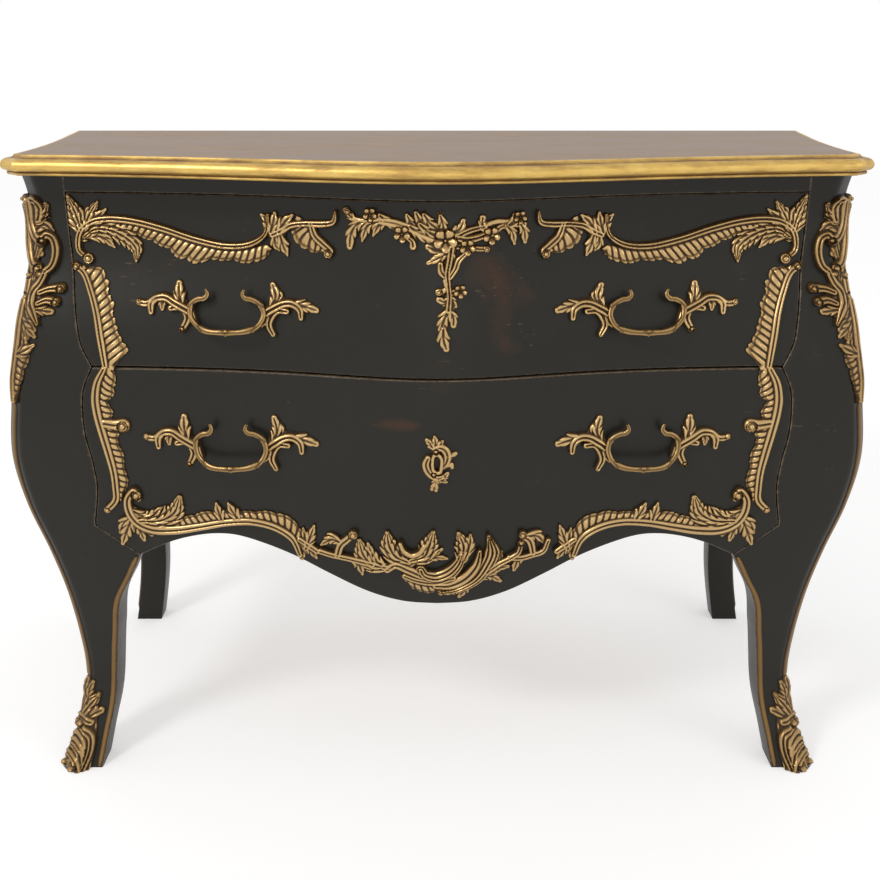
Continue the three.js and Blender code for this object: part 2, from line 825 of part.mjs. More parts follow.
function strikeSlot() {
  const half = boltHalfWidth + strikeGap;
  const low = [-half, boltBack - strikeGap, railFoot - cutOverrun];
  return block(low, [half, boltFace + strikeGap, strikeTop]);
}

function lockCase() {
  const stations = steps(-lockPlateHalfWidth, lockPlateHalfWidth, 2);
  const rows = lowerRowHeights.filter((z) => z > lockPlateFoot);
  const top = lowerFrontTop - sleeveGap;
  const heights = [lockPlateFoot, ...rows.slice(0, -1), top];
  const plate = curvedBoard(
    ...[sleeveGap, sleeveGap + lockPlateThickness].map((behind) =>
      stations.map((x) => {
        return heights.map((z) => cornerPoint(x, frontBack(x, z, lowerRowHeights) - behind, z));
      }),
    ),
  );
  const faceOver = (from, to) => {
    const faces = [from, to].map((z) => frontBack(0, z, lowerRowHeights));
    return Math.min(...faces) - sleeveGap - lockPlateThickness / 2;
  };
  const caseFace = faceOver(lockPlateFoot, lockCaseTop);
  const body = block(
    [-lockCaseHalfWidth, lockBack, lockPlateFoot],
    [lockCaseHalfWidth, caseFace, lockCaseTop],
  );
  const stapleFace = faceOver(stapleFoot, stapleTop);
  const staple = block(
    [-stapleHalfWidth, lockBack, stapleFoot],
    [stapleHalfWidth, stapleFace, stapleTop],
  );
  const half = boltHalfWidth + sleeveGap;
  const low = [-half, boltBack - sleeveGap, boltFoot - sleeveGap];
  const channel = block(low, [half, boltFace + sleeveGap, lowerFrontTop]);
  return cutBy(joined([plate, body, staple]), [channel, keyholeTool()]);
}

function lockBolt() {
  return block([-boltHalfWidth, boltBack, boltFoot], [boltHalfWidth, boltFace, boltTop]);
}

// Cast mounts: each is drawn as strokes in a box laid on the surface, in shares of the box, with
// stroke widths and heights in shares of the box's unit. A box that spans the front has its left and
// right edges as shares of openingHalfWidth, and its foot above or below the division.

const cornerUnit = 10;
const frontUnitShare = 0.01996;
const frontUnit = openingHalfWidth * frontUnitShare;
const leafLift = 0.25;
const leafSpans = 2;
const flowerPetals = 4;

const stem = (path, wide, rise) => ({ path, wide, rise, spans: path.length - 1 });
const leaf = (path, wide, rise) => ({ path, wide, rise, spans: Math.max(leafSpans, path.length - 2) });
const bead = (centre, radius, rise) => ({ centre, radius, rise, petals: 0 });
const flower = (centre, radius, rise) => ({ centre, radius, rise, petals: flowerPetals });

// A comb of leaflets on one side of a line: its reach to the left of the way, or to the right below 0
const fringe = (path, reach, rise) => ({ path, reach, rise, spans: reach.length - 1 });

const spanOf = ([left, right]) => ({
  left: left * openingHalfWidth,
  right: right * openingHalfWidth,
  unit: frontUnit,
  level: division,
});

const inField = (field, [s, t]) => {
  const rise = mix(field.footLeft, field.footRight, s) + field.crown * Math.sin(Math.PI * s);
  const z = field.level + rise + field.height * t;
  return [mix(field.left, field.right, s) + field.lean * t, z];
};

// Sections across a stroke, as shares of its width and rise
const ridgeShares = [[-1, 0], [0, 1], [1, 0]];
const fringeShares = [[0, 0], [0.4, 1], [1, 0]];

// A value part of the way through a list
function along(list, share) {
  const place = share * (list.length - 1);
  const i = Math.min(Math.floor(place), list.length - 2);
  return mix(list[i], list[i + 1], place - i);
}

function ridge(stroke, field, surface, base) {
  const points = stroke.path.map((p) => new THREE.Vector3(...inField(field, p), 0));
  const line = new THREE.CatmullRomCurve3(points);
  const section = stroke.reach ? fringeShares : ridgeShares;
  const rings = steps(0, 1, stroke.spans).map((t) => {
    const at = line.getPointAt(t);
    const way = line.getTangentAt(t);
    const wide = along(stroke.reach ?? stroke.wide, t) * field.unit;
    const fall = stroke.reach ? 1 : 1 - (t * t) / 2;
    const rise = Array.isArray(stroke.rise) ? along(stroke.rise, t) : stroke.rise * fall;
    const top = Math.max(base, mountGap) + rise * field.unit;
    return section.map(([side, up]) => {
      return surface([at.x - way.y * side * wide, at.y + way.x * side * wide], mix(base, top, up));
    });
  });
  return loft(rings);
}

// A bead or a flower: rings that close in over its middle
const beadShares = [[1, 0], [0.5, 1]];
const flowerShares = [[1, 0], [0.45, 1]];
const notchShares = [0.75, 0.9];
const beadSides = 6;

function dome({ centre, radius, rise, petals }, field, surface, base) {
  const [x, z] = inField(field, centre);
  const sides = petals ? 2 * petals : beadSides;
  const rings = (petals ? flowerShares : beadShares).map(([out, up], row) => {
    return steps(0, 2 * Math.PI, sides).slice(1).map((angle, i) => {
      const notch = petals && i % 2 ? notchShares[row] : 1;
      const reach = radius * field.unit * out * notch;
      const place = [x + reach * Math.cos(angle), z + reach * Math.sin(angle)];
      return surface(place, up ? Math.max(base, mountGap) + up * rise * field.unit : base);
    });
  });
  return loft(rings);
}

function cast(strokes, field, surface, base) {
  return joined(
    strokes.map((stroke, i) => {
      const lifted = base + (i % 3) * leafLift;
      return stroke.path ? ridge(stroke, field, surface, lifted) : dome(stroke, field, surface, lifted);
    }),
  );
}

const onFront = ([x, z], lift) => cornerPoint(x, frontDepth(x, z) + lift, z);

// Across the corner: nought on the middle of the cant, positive toward the front
const cornerRound = 6;
function onCorner([across, z], lift) {
  const half = cantAt(z) / Math.SQRT2;
  const onCant = THREE.MathUtils.clamp(across, -half, half);
  const beyond = across - onCant;
  const turn = (Math.PI / 4) * (1 + THREE.MathUtils.clamp(across / (half + cornerRound), -1, 1));
  const reach = (half + onCant) / Math.SQRT2;
  const x = cornerHalfWidth(z) - reach - Math.max(0, beyond);
  const depth = cornerForward(z) - (half - onCant) / Math.SQRT2;
  const face = beyond > 0 ? Math.max(depth, frontDepth(x, z)) : depth + Math.min(0, beyond);
  const out = beyond < 0 ? sideWidth(face, z) : x;
  return cornerPoint(out + lift * Math.cos(turn), face + lift * Math.sin(turn), z);
}

const friezeSpanShares = [-0.998, -0.256];
const friezeLiftLeft = 136.5;
const friezeLiftRight = 147.5;
const friezeHeight = 86;
const friezeCrown = 4;
const friezeField = {
  ...spanOf(friezeSpanShares),
  footLeft: friezeLiftLeft,
  footRight: friezeLiftRight,
  height: friezeHeight,
  crown: friezeCrown,
  lean: 0,
};

const friezeShares = [
  stem(
    [[0.09, 0.03], [0.05, 0.17], [0.055, 0.45], [0.1, 0.59], [0.16, 0.62], [0.25, 0.57], [0.36, 0.44],
      [0.48, 0.27], [0.6, 0.17], [0.69, 0.22], [0.74, 0.38], [0.75, 0.66]],
    [0.3, 0.38, 0.42, 0.42, 0.4, 0.4, 0.35, 0.2],
    0.8,
  ),
  bead([0.085, 0.03], 0.75, 0.9),
  fringe(
    [[0.74, 0.21], [0.68, 0.14], [0.6, 0.12], [0.53, 0.16], [0.45, 0.26], [0.36, 0.39], [0.29, 0.49],
      [0.22, 0.55], [0.15, 0.56]],
    [1.4, 2, 1.5, 1.5, 2.5, 2.7, 1.9, 1.7, 1.4, 1.2, 0.6],
    0.5,
  ),
  leaf([[0.06, 0.46], [0.04, 0.72], [0.01, 1.01]], [0.5, 0.8, 0.15], 0.7),
  leaf([[0.07, 0.5], [0.09, 0.7], [0.12, 0.9]], [0.45, 0.75, 0.12], 0.7),
  leaf([[0.09, 0.56], [0.12, 0.67], [0.15, 0.77]], [0.4, 0.55, 0.12], 0.6),
  leaf(
    [[0.07, 0.36], [0.11, 0.47], [0.17, 0.44], [0.23, 0.3], [0.26, 0.15], [0.26, -0.05]],
    [0.4, 0.6, 0.75, 0.85, 0.7, 0.12],
    0.8,
  ),
  leaf([[0.09, 0.37], [0.14, 0.33], [0.18, 0.18]], [0.4, 0.6, 0.12], 0.6),
  leaf([[0.76, 0.4], [0.77, 0.56], [0.775, 0.7]], [0.45, 0.65, 0.15], 0.7),
  leaf([[0.745, 0.43], [0.745, 0.57], [0.725, 0.66]], [0.4, 0.55, 0.15], 0.6),
  leaf([[0.79, 0.4], [0.81, 0.56], [0.84, 0.67]], [0.45, 0.65, 0.15], 0.7),
  leaf([[0.795, 0.35], [0.805, 0.2], [0.82, 0.06]], [0.45, 0.6, 0.12], 0.6),
  leaf([[0.775, 0.35], [0.775, 0.22], [0.79, 0.13]], [0.4, 0.5, 0.12], 0.6),
  stem(
    [[0.765, 0.36], [0.8, 0.43], [0.83, 0.51], [0.88, 0.55], [0.95, 0.56], [0.985, 0.6], [0.995, 0.76]],
    [0.35, 0.4, 0.36, 0.35, 0.4, 0.35, 0.15],
    0.7,
  ),
  stem(
    [[0.905, 0.56], [0.92, 0.38], [0.95, 0.26], [0.975, 0.16], [0.967, 0.08]],
    [0.3, 0.4, 0.45, 0.4, 0.3],
    0.7,
  ),
  bead([0.966, 0.12], 0.6, 0.9),
  fringe([[0.908, 0.54], [0.92, 0.365], [0.95, 0.24], [0.97, 0.15]], [-3, -2.5, -1.6, -0.5], 0.5),
];

const upperFeatherSpanShares = [-0.972, -0.832];
const upperFeatherLift = 0;
const upperFeatherHeight = 129.5;
const upperFeatherField = {
  ...spanOf(upperFeatherSpanShares),
  footLeft: upperFeatherLift,
  footRight: upperFeatherLift,
  height: upperFeatherHeight,
  crown: 0,
  lean: 0,
};

const upperFeatherShares = [
  stem(
    [[0, 1.02], [0.17, 0.95], [0.33, 0.76], [0.45, 0.55], [0.53, 0.32], [0.63, 0.02]],
    [0.4, 0.38, 0.4, 0.42, 0.42, 0.35],
    0.7,
  ),
  bead([0.03, 1.01], 0.5, 0.8),
  fringe(
    [[0.66, 0.02], [0.59, 0.19], [0.53, 0.33], [0.47, 0.51], [0.38, 0.7], [0.27, 0.87], [0.15, 0.98]],
    [-1.4, -3, -3, -2.2, -2.5, -1.9, -2.6, -1.9, -2.5, -2.3, -0.8],
    0.5,
  ),
];

const lowerFeatherSpanShares = [-0.94, -0.842];
const lowerFeatherLift = -205.5;
const lowerFeatherHeight = 200;
const lowerFeatherLean = 12;
const lowerFeatherField = {
  ...spanOf(lowerFeatherSpanShares),
  footLeft: lowerFeatherLift,
  footRight: lowerFeatherLift,
  height: lowerFeatherHeight,
  crown: 0,
  lean: lowerFeatherLean,
};

const lowerFeatherShares = [
  stem(
    [[0.28, 1.02], [0.12, 0.93], [0.08, 0.83], [0.14, 0.73], [0.3, 0.59], [0.47, 0.45], [0.6, 0.32],
      [0.65, 0.2], [0.64, 0.1], [0.4, 0.025]],
    [0.35, 0.45, 0.5, 0.5, 0.5, 0.48, 0.45, 0.42, 0.42, 0.4],
    0.7,
  ),
  bead([0.39, 0.02], 0.5, 0.6),
  fringe(
    [[0.33, 1.02], [0.2, 0.91], [0.18, 0.8], [0.3, 0.66], [0.46, 0.53], [0.6, 0.4], [0.7, 0.27],
      [0.73, 0.15], [0.75, 0.1]],
    [1.3, 1.9, 2, 1.2, 1.6, 1.1, 1.7, 1.1, 1.6, 1.1, 1.5, 1, 0.4],
    0.5,
  ),
  stem([[0.35, 0.655], [0.61, 0.645], [0.86, 0.64]], [0.5, 0.55, 0.7], 0.7),
  bead([0.85, 0.635], 0.75, 0.8),
];

const scrollSpanShares = [-0.878, -0.321];
const scrollLiftLeft = -277.5;
const scrollLiftRight = -266.5;
const scrollHeight = 105;
const scrollField = {
  ...spanOf(scrollSpanShares),
  footLeft: scrollLiftLeft,
  footRight: scrollLiftRight,
  height: scrollHeight,
  crown: 0,
  lean: 0,
};

const scrollShares = [
  stem(
    [[0.12, 0.89], [0.1, 1], [0.065, 0.88], [0.07, 0.68], [0.11, 0.52], [0.18, 0.43], [0.29, 0.42],
      [0.42, 0.47], [0.55, 0.53], [0.68, 0.54], [0.79, 0.46], [0.87, 0.3], [0.905, 0.06]],
    [0.35, 0.45, 0.55, 0.6, 0.55, 0.5, 0.48, 0.48, 0.48, 0.45, 0.3],
    0.8,
  ),
  bead([0.11, 0.94], 0.7, 0.9),
  leaf([[0.11, 0.57], [0.22, 0.57], [0.29, 0.68], [0.32, 0.88]], [0.5, 0.9, 1, 0.3], 0.8),
  leaf([[0.075, 0.61], [0.035, 0.53], [0.01, 0.39]], [0.4, 0.6, 0.2], 0.6),
  leaf([[0.075, 0.59], [0.045, 0.42], [0.015, 0.22]], [0.45, 0.7, 0.2], 0.7),
  leaf([[0.09, 0.57], [0.11, 0.43], [0.125, 0.27]], [0.4, 0.6, 0.2], 0.6),
  fringe(
    [[0.31, 0.45], [0.41, 0.485], [0.52, 0.54], [0.62, 0.565], [0.73, 0.545], [0.81, 0.48],
      [0.87, 0.35], [0.9, 0.2]],
    [1.2, 1.7, 1.8, 1.6, 1.2, 1.4, 1.8, 1.8, 0.7],
    0.5,
  ),
  leaf([[0.525, 0.56], [0.51, 0.69], [0.5, 0.8]], [0.4, 0.55, 0.15], 0.7),
  leaf([[0.61, 0.57], [0.58, 0.69], [0.56, 0.8]], [0.45, 0.6, 0.15], 0.7),
  leaf([[0.91, 0.2], [0.915, 0.09], [0.91, -0.01]], [0.35, 0.5, 0.2], 0.6),
  leaf([[0.935, 0.15], [0.957, 0.32], [0.98, 0.49]], [0.4, 0.6, 0.15], 0.7),
  leaf([[0.94, 0.2], [0.965, 0.1], [0.985, 0.01]], [0.35, 0.5, 0.15], 0.6),
  stem([[0.905, 0.29], [0.95, 0.2], [0.99, 0.12]], [0.35, 0.4, 0.36], 0.7),
];

const garlandSpanShares = [-0.247, 0.264];
const garlandLift = 147.5;
const garlandHeight = 73;
const garlandCrown = 3.5;
const garlandField = {
  ...spanOf(garlandSpanShares),
  footLeft: garlandLift,
  footRight: garlandLift,
  height: garlandHeight,
  crown: garlandCrown,
  lean: 0,
};

const garlandShares = [
  leaf([[0.08, 0.75], [0.05, 0.82], [0.03, 0.91]], [0.3, 0.42, 0.35], 0.6),
  bead([0.035, 0.89], 0.42, 0.7),
  stem(
    [[0.07, 0.77], [0.11, 0.74], [0.16, 0.76], [0.22, 0.75], [0.28, 0.72], [0.34, 0.65]],
    [0.3, 0.3, 0.28, 0.28],
    0.6,
  ),
  leaf([[0.165, 0.74], [0.09, 0.69], [0.055, 0.52], [0.045, 0.28]], [0.25, 0.5, 0.55, 0.3], 0.7),
  leaf([[0.195, 0.72], [0.14, 0.65], [0.12, 0.52], [0.11, 0.38]], [0.25, 0.48, 0.45, 0.12], 0.6),
  leaf([[0.2, 0.83], [0.235, 0.73], [0.275, 0.6]], [0.35, 0.5, 0.25], 0.7),
  flower([0.15, 0.84], 0.9, 1),
  stem([[0.2, 0.71], [0.28, 0.65], [0.33, 0.6], [0.4, 0.49], [0.47, 0.39]], [0.25, 0.28, 0.3, 0.3], 0.6),
  flower([0.31, 0.5], 1.05, 1.1),
  leaf([[0.38, 0.87], [0.4, 0.73], [0.44, 0.56]], [0.3, 0.45, 0.3], 0.7),
  leaf([[0.35, 0.64], [0.4, 0.5], [0.47, 0.39]], [0.4, 0.6, 0.4], 0.7),
  leaf([[0.4, 0.67], [0.44, 0.55], [0.5, 0.44]], [0.35, 0.5, 0.35], 0.8),
  leaf([[0.5, 0.82], [0.51, 0.7], [0.52, 0.45]], [0.35, 0.5, 0.45], 0.8),
  leaf([[0.55, 0.5], [0.6, 0.61], [0.615, 0.74]], [0.4, 0.6, 0.2], 0.7),
  stem([[0.58, 0.46], [0.65, 0.57], [0.72, 0.63]], [0.35, 0.38, 0.3], 0.7),
  stem([[0.57, 0.45], [0.63, 0.41], [0.685, 0.44], [0.73, 0.5]], [0.4, 0.42, 0.4, 0.35], 0.8),
  flower([0.525, 0.39], 1.5, 1.3),
  leaf([[0.715, 0.61], [0.708, 0.7], [0.71, 0.78]], [0.45, 0.5, 0.3], 0.7),
  flower([0.755, 0.47], 1.1, 1.1),
  stem([[0.77, 0.5], [0.8, 0.62], [0.87, 0.655], [0.92, 0.67]], [0.35, 0.3, 0.3], 0.5),
  leaf([[0.83, 0.64], [0.86, 0.7], [0.87, 0.84]], [0.35, 0.6, 0.2], 0.7),
  flower([0.9, 0.79], 0.85, 1),
  leaf([[0.83, 0.64], [0.86, 0.52], [0.87, 0.33]], [0.3, 0.45, 0.15], 0.6),
  leaf([[0.9, 0.67], [0.92, 0.55], [0.925, 0.36]], [0.3, 0.5, 0.2], 0.6),
  leaf([[0.53, 0.24], [0.49, 0.21], [0.44, 0.28]], [0.5, 0.6, 0.3], 0.7),
  leaf([[0.535, 0.2], [0.49, 0.09], [0.44, 0]], [0.4, 0.48, 0.2], 0.6),
  stem([[0.55, 0.32], [0.6, 0.28], [0.67, 0.25], [0.73, 0.24]], [0.35, 0.35, 0.3, 0.3], 0.5),
  flower([0.635, 0.27], 1, 1.1),
  stem(
    [[0.555, 0.26], [0.545, 0.02], [0.535, -0.18], [0.54, -0.38], [0.545, -0.59], [0.54, -0.82]],
    [0.4, 0.35, 0.32, 0.3, 0.3, 0.35],
    0.8,
  ),
  stem([[0.63, 0.18], [0.59, 0.04], [0.575, -0.1], [0.55, -0.24]], [0.25, 0.35, 0.35, 0.3], 0.7),
  stem([[0.525, -0.3], [0.53, -0.44], [0.495, -0.51]], [0.28, 0.28, 0.3], 0.6),
  bead([0.492, -0.5], 0.5, 0.8),
  stem([[0.545, -0.54], [0.57, -0.5], [0.59, -0.49]], [0.35, 0.35, 0.35], 0.6),
  flower([0.6, -0.49], 0.85, 1),
  leaf([[0.545, -0.56], [0.56, -0.66], [0.575, -0.75]], [0.35, 0.42, 0.2], 0.6),
  leaf([[0.545, -0.79], [0.53, -0.9], [0.51, -1.06], [0.505, -1.24]], [0.4, 0.65, 0.5, 0.3], 0.7),
  leaf([[0.515, -1.14], [0.516, -1.33], [0.53, -1.5]], [0.4, 0.62, 0.3], 0.7),
];

const cartoucheSpanShares = [-0.339, 0.339];
const cartoucheLift = -330.5;
const cartoucheHeight = 108;
const cartoucheCrown = 11;
const cartoucheField = {
  ...spanOf(cartoucheSpanShares),
  footLeft: cartoucheLift,
  footRight: cartoucheLift,
  height: cartoucheHeight,
  crown: cartoucheCrown,
  lean: 0,
};

const cartoucheShares = [
  stem([[0.03, 0.7], [0.08, 0.64], [0.14, 0.59], [0.24, 0.5]], [0.36, 0.35, 0.38, 0.45], 0.7),
  leaf([[0.16, 0.57], [0.185, 0.5], [0.2, 0.34]], [0.4, 0.55, 0.15], 0.6),
  stem([[0.1, 0.63], [0.115, 0.78], [0.14, 0.86], [0.165, 0.93]], [0.4, 0.45, 0.45, 0.4], 0.7),
  bead([0.167, 0.935], 0.7, 1),
  leaf([[0.12, 0.82], [0.08, 0.87], [0.035, 0.79]], [0.4, 0.65, 0.15], 0.6),
  leaf([[0.31, 0.45], [0.24, 0.5], [0.205, 0.65], [0.19, 0.84]], [0.45, 0.9, 0.95, 0.25], 0.7),
  stem([[0.3, 0.42], [0.335, 0.49], [0.385, 0.42], [0.44, 0.33]], [0.4, 0.5, 0.55, 0.5], 0.8),
  leaf([[0.4, 0.44], [0.345, 0.61], [0.31, 0.79], [0.303, 0.96]], [0.55, 1, 0.9, 0.2], 0.8),
  leaf([[0.39, 0.56], [0.45, 0.63], [0.47, 0.79], [0.485, 0.97]], [0.5, 0.9, 0.9, 0.2], 0.8),
  leaf([[0.44, 0.59], [0.5, 0.6], [0.54, 0.58]], [0.4, 0.5, 0.15], 0.5),
  stem(
    [[0.435, 0.43], [0.45, 0.34], [0.5, 0.295], [0.55, 0.37], [0.585, 0.51], [0.6, 0.66]],
    [0.5, 0.7, 0.8, 0.75, 0.6, 0.35],
    0.9,
  ),
  leaf([[0.6, 0.6], [0.605, 0.78], [0.585, 0.95]], [0.6, 0.9, 0.2], 0.8),
  stem([[0.37, 0.33], [0.41, 0.27], [0.48, 0.23], [0.565, 0.3]], [0.35, 0.4, 0.45, 0.4], 0.8),
  stem(
    [[0.495, 0.185], [0.555, 0.19], [0.615, 0.3], [0.657, 0.49], [0.67, 0.7]],
    [0.4, 0.7, 0.6, 0.25],
    0.9,
  ),
  stem(
    [[0.515, 0.08], [0.585, 0.125], [0.66, 0.285], [0.7, 0.49], [0.72, 0.68], [0.705, 0.92]],
    [0.35, 0.5, 0.6, 0.75, 0.8, 0.2],
    0.9,
  ),
  leaf([[0.68, 0.34], [0.725, 0.46], [0.755, 0.68]], [0.45, 0.85, 0.2], 0.7),
  stem([[0.7, 0.39], [0.75, 0.51], [0.8, 0.61], [0.825, 0.68], [0.835, 0.81]], [0.45, 0.4, 0.35, 0.3], 0.8),
  bead([0.835, 0.82], 0.45, 0.8),
  leaf([[0.665, 0.29], [0.71, 0.33], [0.755, 0.24]], [0.4, 0.6, 0.2], 0.6),
  leaf([[0.62, 0.2], [0.61, 0.11], [0.59, 0]], [0.45, 0.5, 0.2], 0.6),
  fringe([[0.37, 0.29], [0.41, 0.23], [0.46, 0.185], [0.53, 0.165]], [-0.3, -1.4, -1.3, -0.8], 0.5),
  stem([[0.79, 0.6], [0.84, 0.6], [0.88, 0.64], [0.925, 0.7], [0.945, 0.86]], [0.38, 0.38, 0.36, 0.3], 0.7),
  leaf([[0.85, 0.61], [0.825, 0.56], [0.81, 0.41]], [0.4, 0.55, 0.2], 0.6),
  stem([[0.84, 0.92], [0.87, 0.85], [0.885, 0.67]], [0.4, 0.45, 0.38], 0.7),
  bead([0.84, 0.94], 0.6, 1),
  leaf([[0.855, 0.92], [0.9, 0.92], [0.93, 0.81]], [0.4, 0.6, 0.15], 0.6),
];

const escutcheonGap = 0.6;
const escutcheonLeft = -22;
const escutcheonRight = 25;
const escutcheonLift = -153.5;
const escutcheonHeight = 78;
const escutcheonField = {
  left: escutcheonLeft,
  right: escutcheonRight,
  footLeft: escutcheonLift,
  footRight: escutcheonLift,
  height: escutcheonHeight,
  crown: 0,
  lean: 0,
  unit: cornerUnit,
  level: division,
};

const escutcheonShares = [
  leaf([[0.41, 0.78], [0.31, 0.86], [0.19, 0.94]], [0.3, 0.45, 0.2], 0.5),
  leaf([[0.44, 0.78], [0.43, 0.89], [0.4, 1]], [0.3, 0.5, 0.15], 0.6),
  stem(
    [[0.42, 0.79], [0.58, 0.81], [0.7, 0.76], [0.76, 0.67], [0.74, 0.57], [0.65, 0.475]],
    [0.35, 0.42, 0.45, 0.45, 0.4, 0.3],
    0.6,
  ),
  stem(
    [[0.22, 0.62], [0.16, 0.52], [0.21, 0.4], [0.34, 0.3], [0.49, 0.26], [0.62, 0.28]],
    [0.35, 0.42, 0.45, 0.42, 0.35, 0.25],
    0.6,
  ),
  stem(
    [[0.35, 0.61], [0.39, 0.675], [0.49, 0.69], [0.59, 0.62], [0.59, 0.48], [0.555, 0.38], [0.47, 0.365],
      [0.38, 0.4], [0.345, 0.49], [0.35, 0.61]],
    [0.2, 0.22, 0.2],
    0.7,
  ),
  bead([0.44, 0.745], 0.4, 0.6),
  bead([0.38, 0.33], 0.4, 0.6),
  leaf([[0.74, 0.65], [0.87, 0.67], [0.98, 0.7]], [0.28, 0.3, 0.2], 0.5),
  stem([[0.66, 0.48], [0.77, 0.51], [0.86, 0.5], [0.89, 0.455]], [0.3, 0.32, 0.32, 0.2], 0.5),
  leaf([[0.5, 0.26], [0.62, 0.22], [0.73, 0.18]], [0.3, 0.4, 0.15], 0.5),
  leaf([[0.46, 0.26], [0.39, 0.15], [0.33, 0.05]], [0.3, 0.3, 0.2], 0.5),
];

// The chutes hang on the corners, the sabots shoe the feet: these boxes run across the corner

const chuteDrop = 30;
const chuteHeight = 280;
const chuteFoot = carcaseHeight - chuteDrop - chuteHeight;
const chuteLeft = 0;
const chuteRight = 44;
const chuteField = {
  left: chuteLeft,
  right: chuteRight,
  footLeft: chuteFoot,
  footRight: chuteFoot,
  height: chuteHeight,
  crown: 0,
  lean: 0,
  unit: cornerUnit,
  level: 0,
};

const chuteShares = [
  stem(
    [[-0.36, 0.97], [-0.26, 0.94], [-0.16, 0.9], [-0.11, 0.84], [-0.06, 0.76], [0.06, 0.7], [0.2, 0.67],
      [0.36, 0.66]],
    [0.5, 0.55, 0.5, 0.55, 0.55, 0.5, 0.45],
    0.9,
  ),
  bead([-0.36, 0.97], 0.6, 1),
  stem([[-0.22, 0.93], [0, 0.965], [0.27, 0.97], [0.4, 0.94], [0.35, 0.88]], [0.35, 0.4, 0.4, 0.4], 0.9),
  stem([[0.02, 0.96], [0.03, 0.9], [0.08, 0.85], [0.22, 0.81], [0.45, 0.78]], [0.5, 0.6, 0.6, 0.5], 1),
  leaf([[0.22, 0.82], [0.5, 0.86], [0.76, 0.83]], [0.4, 0.6, 0.2], 0.7),
  stem(
    [[0.44, 0.78], [0.56, 0.81], [0.75, 0.8], [0.86, 0.76], [0.87, 0.71], [0.78, 0.665], [0.6, 0.64]],
    [0.4, 0.45, 0.48, 0.45, 0.42],
    0.9,
  ),
  bead([0.38, 0.655], 0.55, 0.9),
  bead([0.47, 0.63], 0.55, 0.9),
  stem(
    [[0.62, 0.64], [0.5, 0.59], [0.36, 0.55], [0.34, 0.5], [0.46, 0.455], [0.66, 0.4]],
    [0.4, 0.42, 0.42, 0.42, 0.4, 0.2],
    0.8,
  ),
  fringe([[0.5, 0.59], [0.42, 0.56], [0.4, 0.52], [0.49, 0.47], [0.6, 0.435]], [0.8, 1.8, 2, 1.6, 0.6], 0.4),
  stem([[0.55, 0.545], [0.8, 0.56], [1.18, 0.565]], [0.35, 0.4, 0.5], 0.8),
  bead([1.17, 0.564], 0.58, 1),
  stem([[0.55, 0.495], [0.8, 0.51], [1.1, 0.502]], [0.32, 0.4, 0.45], 0.8),
  stem([[0.12, 0.69], [0.07, 0.62], [0.08, 0.55], [0.03, 0.49]], [0.45, 0.5, 0.45], 0.7),
  leaf([[0.03, 0.43], [0.35, 0.38], [0.6, 0.34]], [0.4, 0.55, 0.2], 0.6),
  leaf([[0.02, 0.25], [0.3, 0.27], [0.6, 0.3]], [0.4, 0.6, 0.2], 0.7),
  stem(
    [[0.03, 0.5], [0.01, 0.42], [0.025, 0.35], [0.025, 0.28], [0.01, 0.21], [0, 0.13], [0.1, 0.03]],
    [0.45, 0.5, 0.5, 0.45, 0.45, 0.42, 0.4, 0.3],
    0.8,
  ),
  fringe([[0.06, 0.26], [0.04, 0.19], [0.03, 0.12], [0.07, 0.04]], [2, 1.8, 1.5, 1.2, 0.5], 0.5),
];

const sabotLeft = 0;
const sabotRight = 26;
const sabotLift = 0;
const sabotHeight = 118;
const sabotField = {
  left: sabotLeft,
  right: sabotRight,
  footLeft: sabotLift,
  footRight: sabotLift,
  height: sabotHeight,
  crown: 0,
  lean: 0,
  unit: cornerUnit,
  level: 0,
};

const sabotShares = [
  stem(
    [[0, 0.9], [0, 0.64], [0, 0.34], [0, 0.13], [0, -0.04]],
    [0.6, 1.3, 1.9, 2.5, 2.4],
    [0.3, 0.5, 0.7, 1, 1.2],
  ),
  leaf([[0.05, 0.76], [-0.1, 0.88], [0, 0.97]], [0.6, 0.55, 0.3], 0.6),
  leaf([[0.08, 0.77], [0.28, 0.89], [0.4, 0.95]], [0.4, 0.45, 0.2], 0.5),
  leaf([[0.08, 0.58], [0.45, 0.72], [0.74, 0.8]], [0.6, 0.75, 0.25], 0.8),
  leaf([[0.1, 0.55], [-0.12, 0.62], [-0.17, 0.7]], [0.5, 0.75, 0.4], 0.7),
  leaf([[0.1, 0.5], [0.6, 0.59], [0.95, 0.62]], [0.5, 0.5, 0.35], 0.7),
  stem([[-0.5, 0.5], [0, 0.53], [0.5, 0.5]], [0.4, 0.5, 0.4], [0.8, 0.9, 0.8]),
  bead([0, 0.12], 1.35, 1.5),
];

// Ornaments on a corner start under its surface and are trimmed to stand just off the post
const cornerSink = 4;

function onPost(strokes, field, post) {
  const raised = cast(strokes, field, onCorner, -cornerSink);
  const reach = bodyHalfWidth + cutOverrun;
  const ground = block([0, 0, -cutOverrun], [reach, frontToBack + cutOverrun, 0]);
  return cutBy(raised, [post.clone().translate(mountGap, -mountGap, 0), ground]);
}

// Gilt lines on the legs
const lineHalfWidth = 4.5;
const lineThickness = 2.4;
const lineInset = 1;
const arrisLineFoot = 124;
const arrisLineGap = 4;
const arrisLineTop = chuteFoot - arrisLineGap;
const innerLineFoot = 8;
const innerLineGap = 3;
const innerLineTop = earFoot - innerLineGap;
const backLineFoot = 20;
const backLineTop = 300;
const backLineFace = 42;

const rowsBetween = (rows, from, to) => [from, ...rows.filter((z) => z > from && z < to), to];

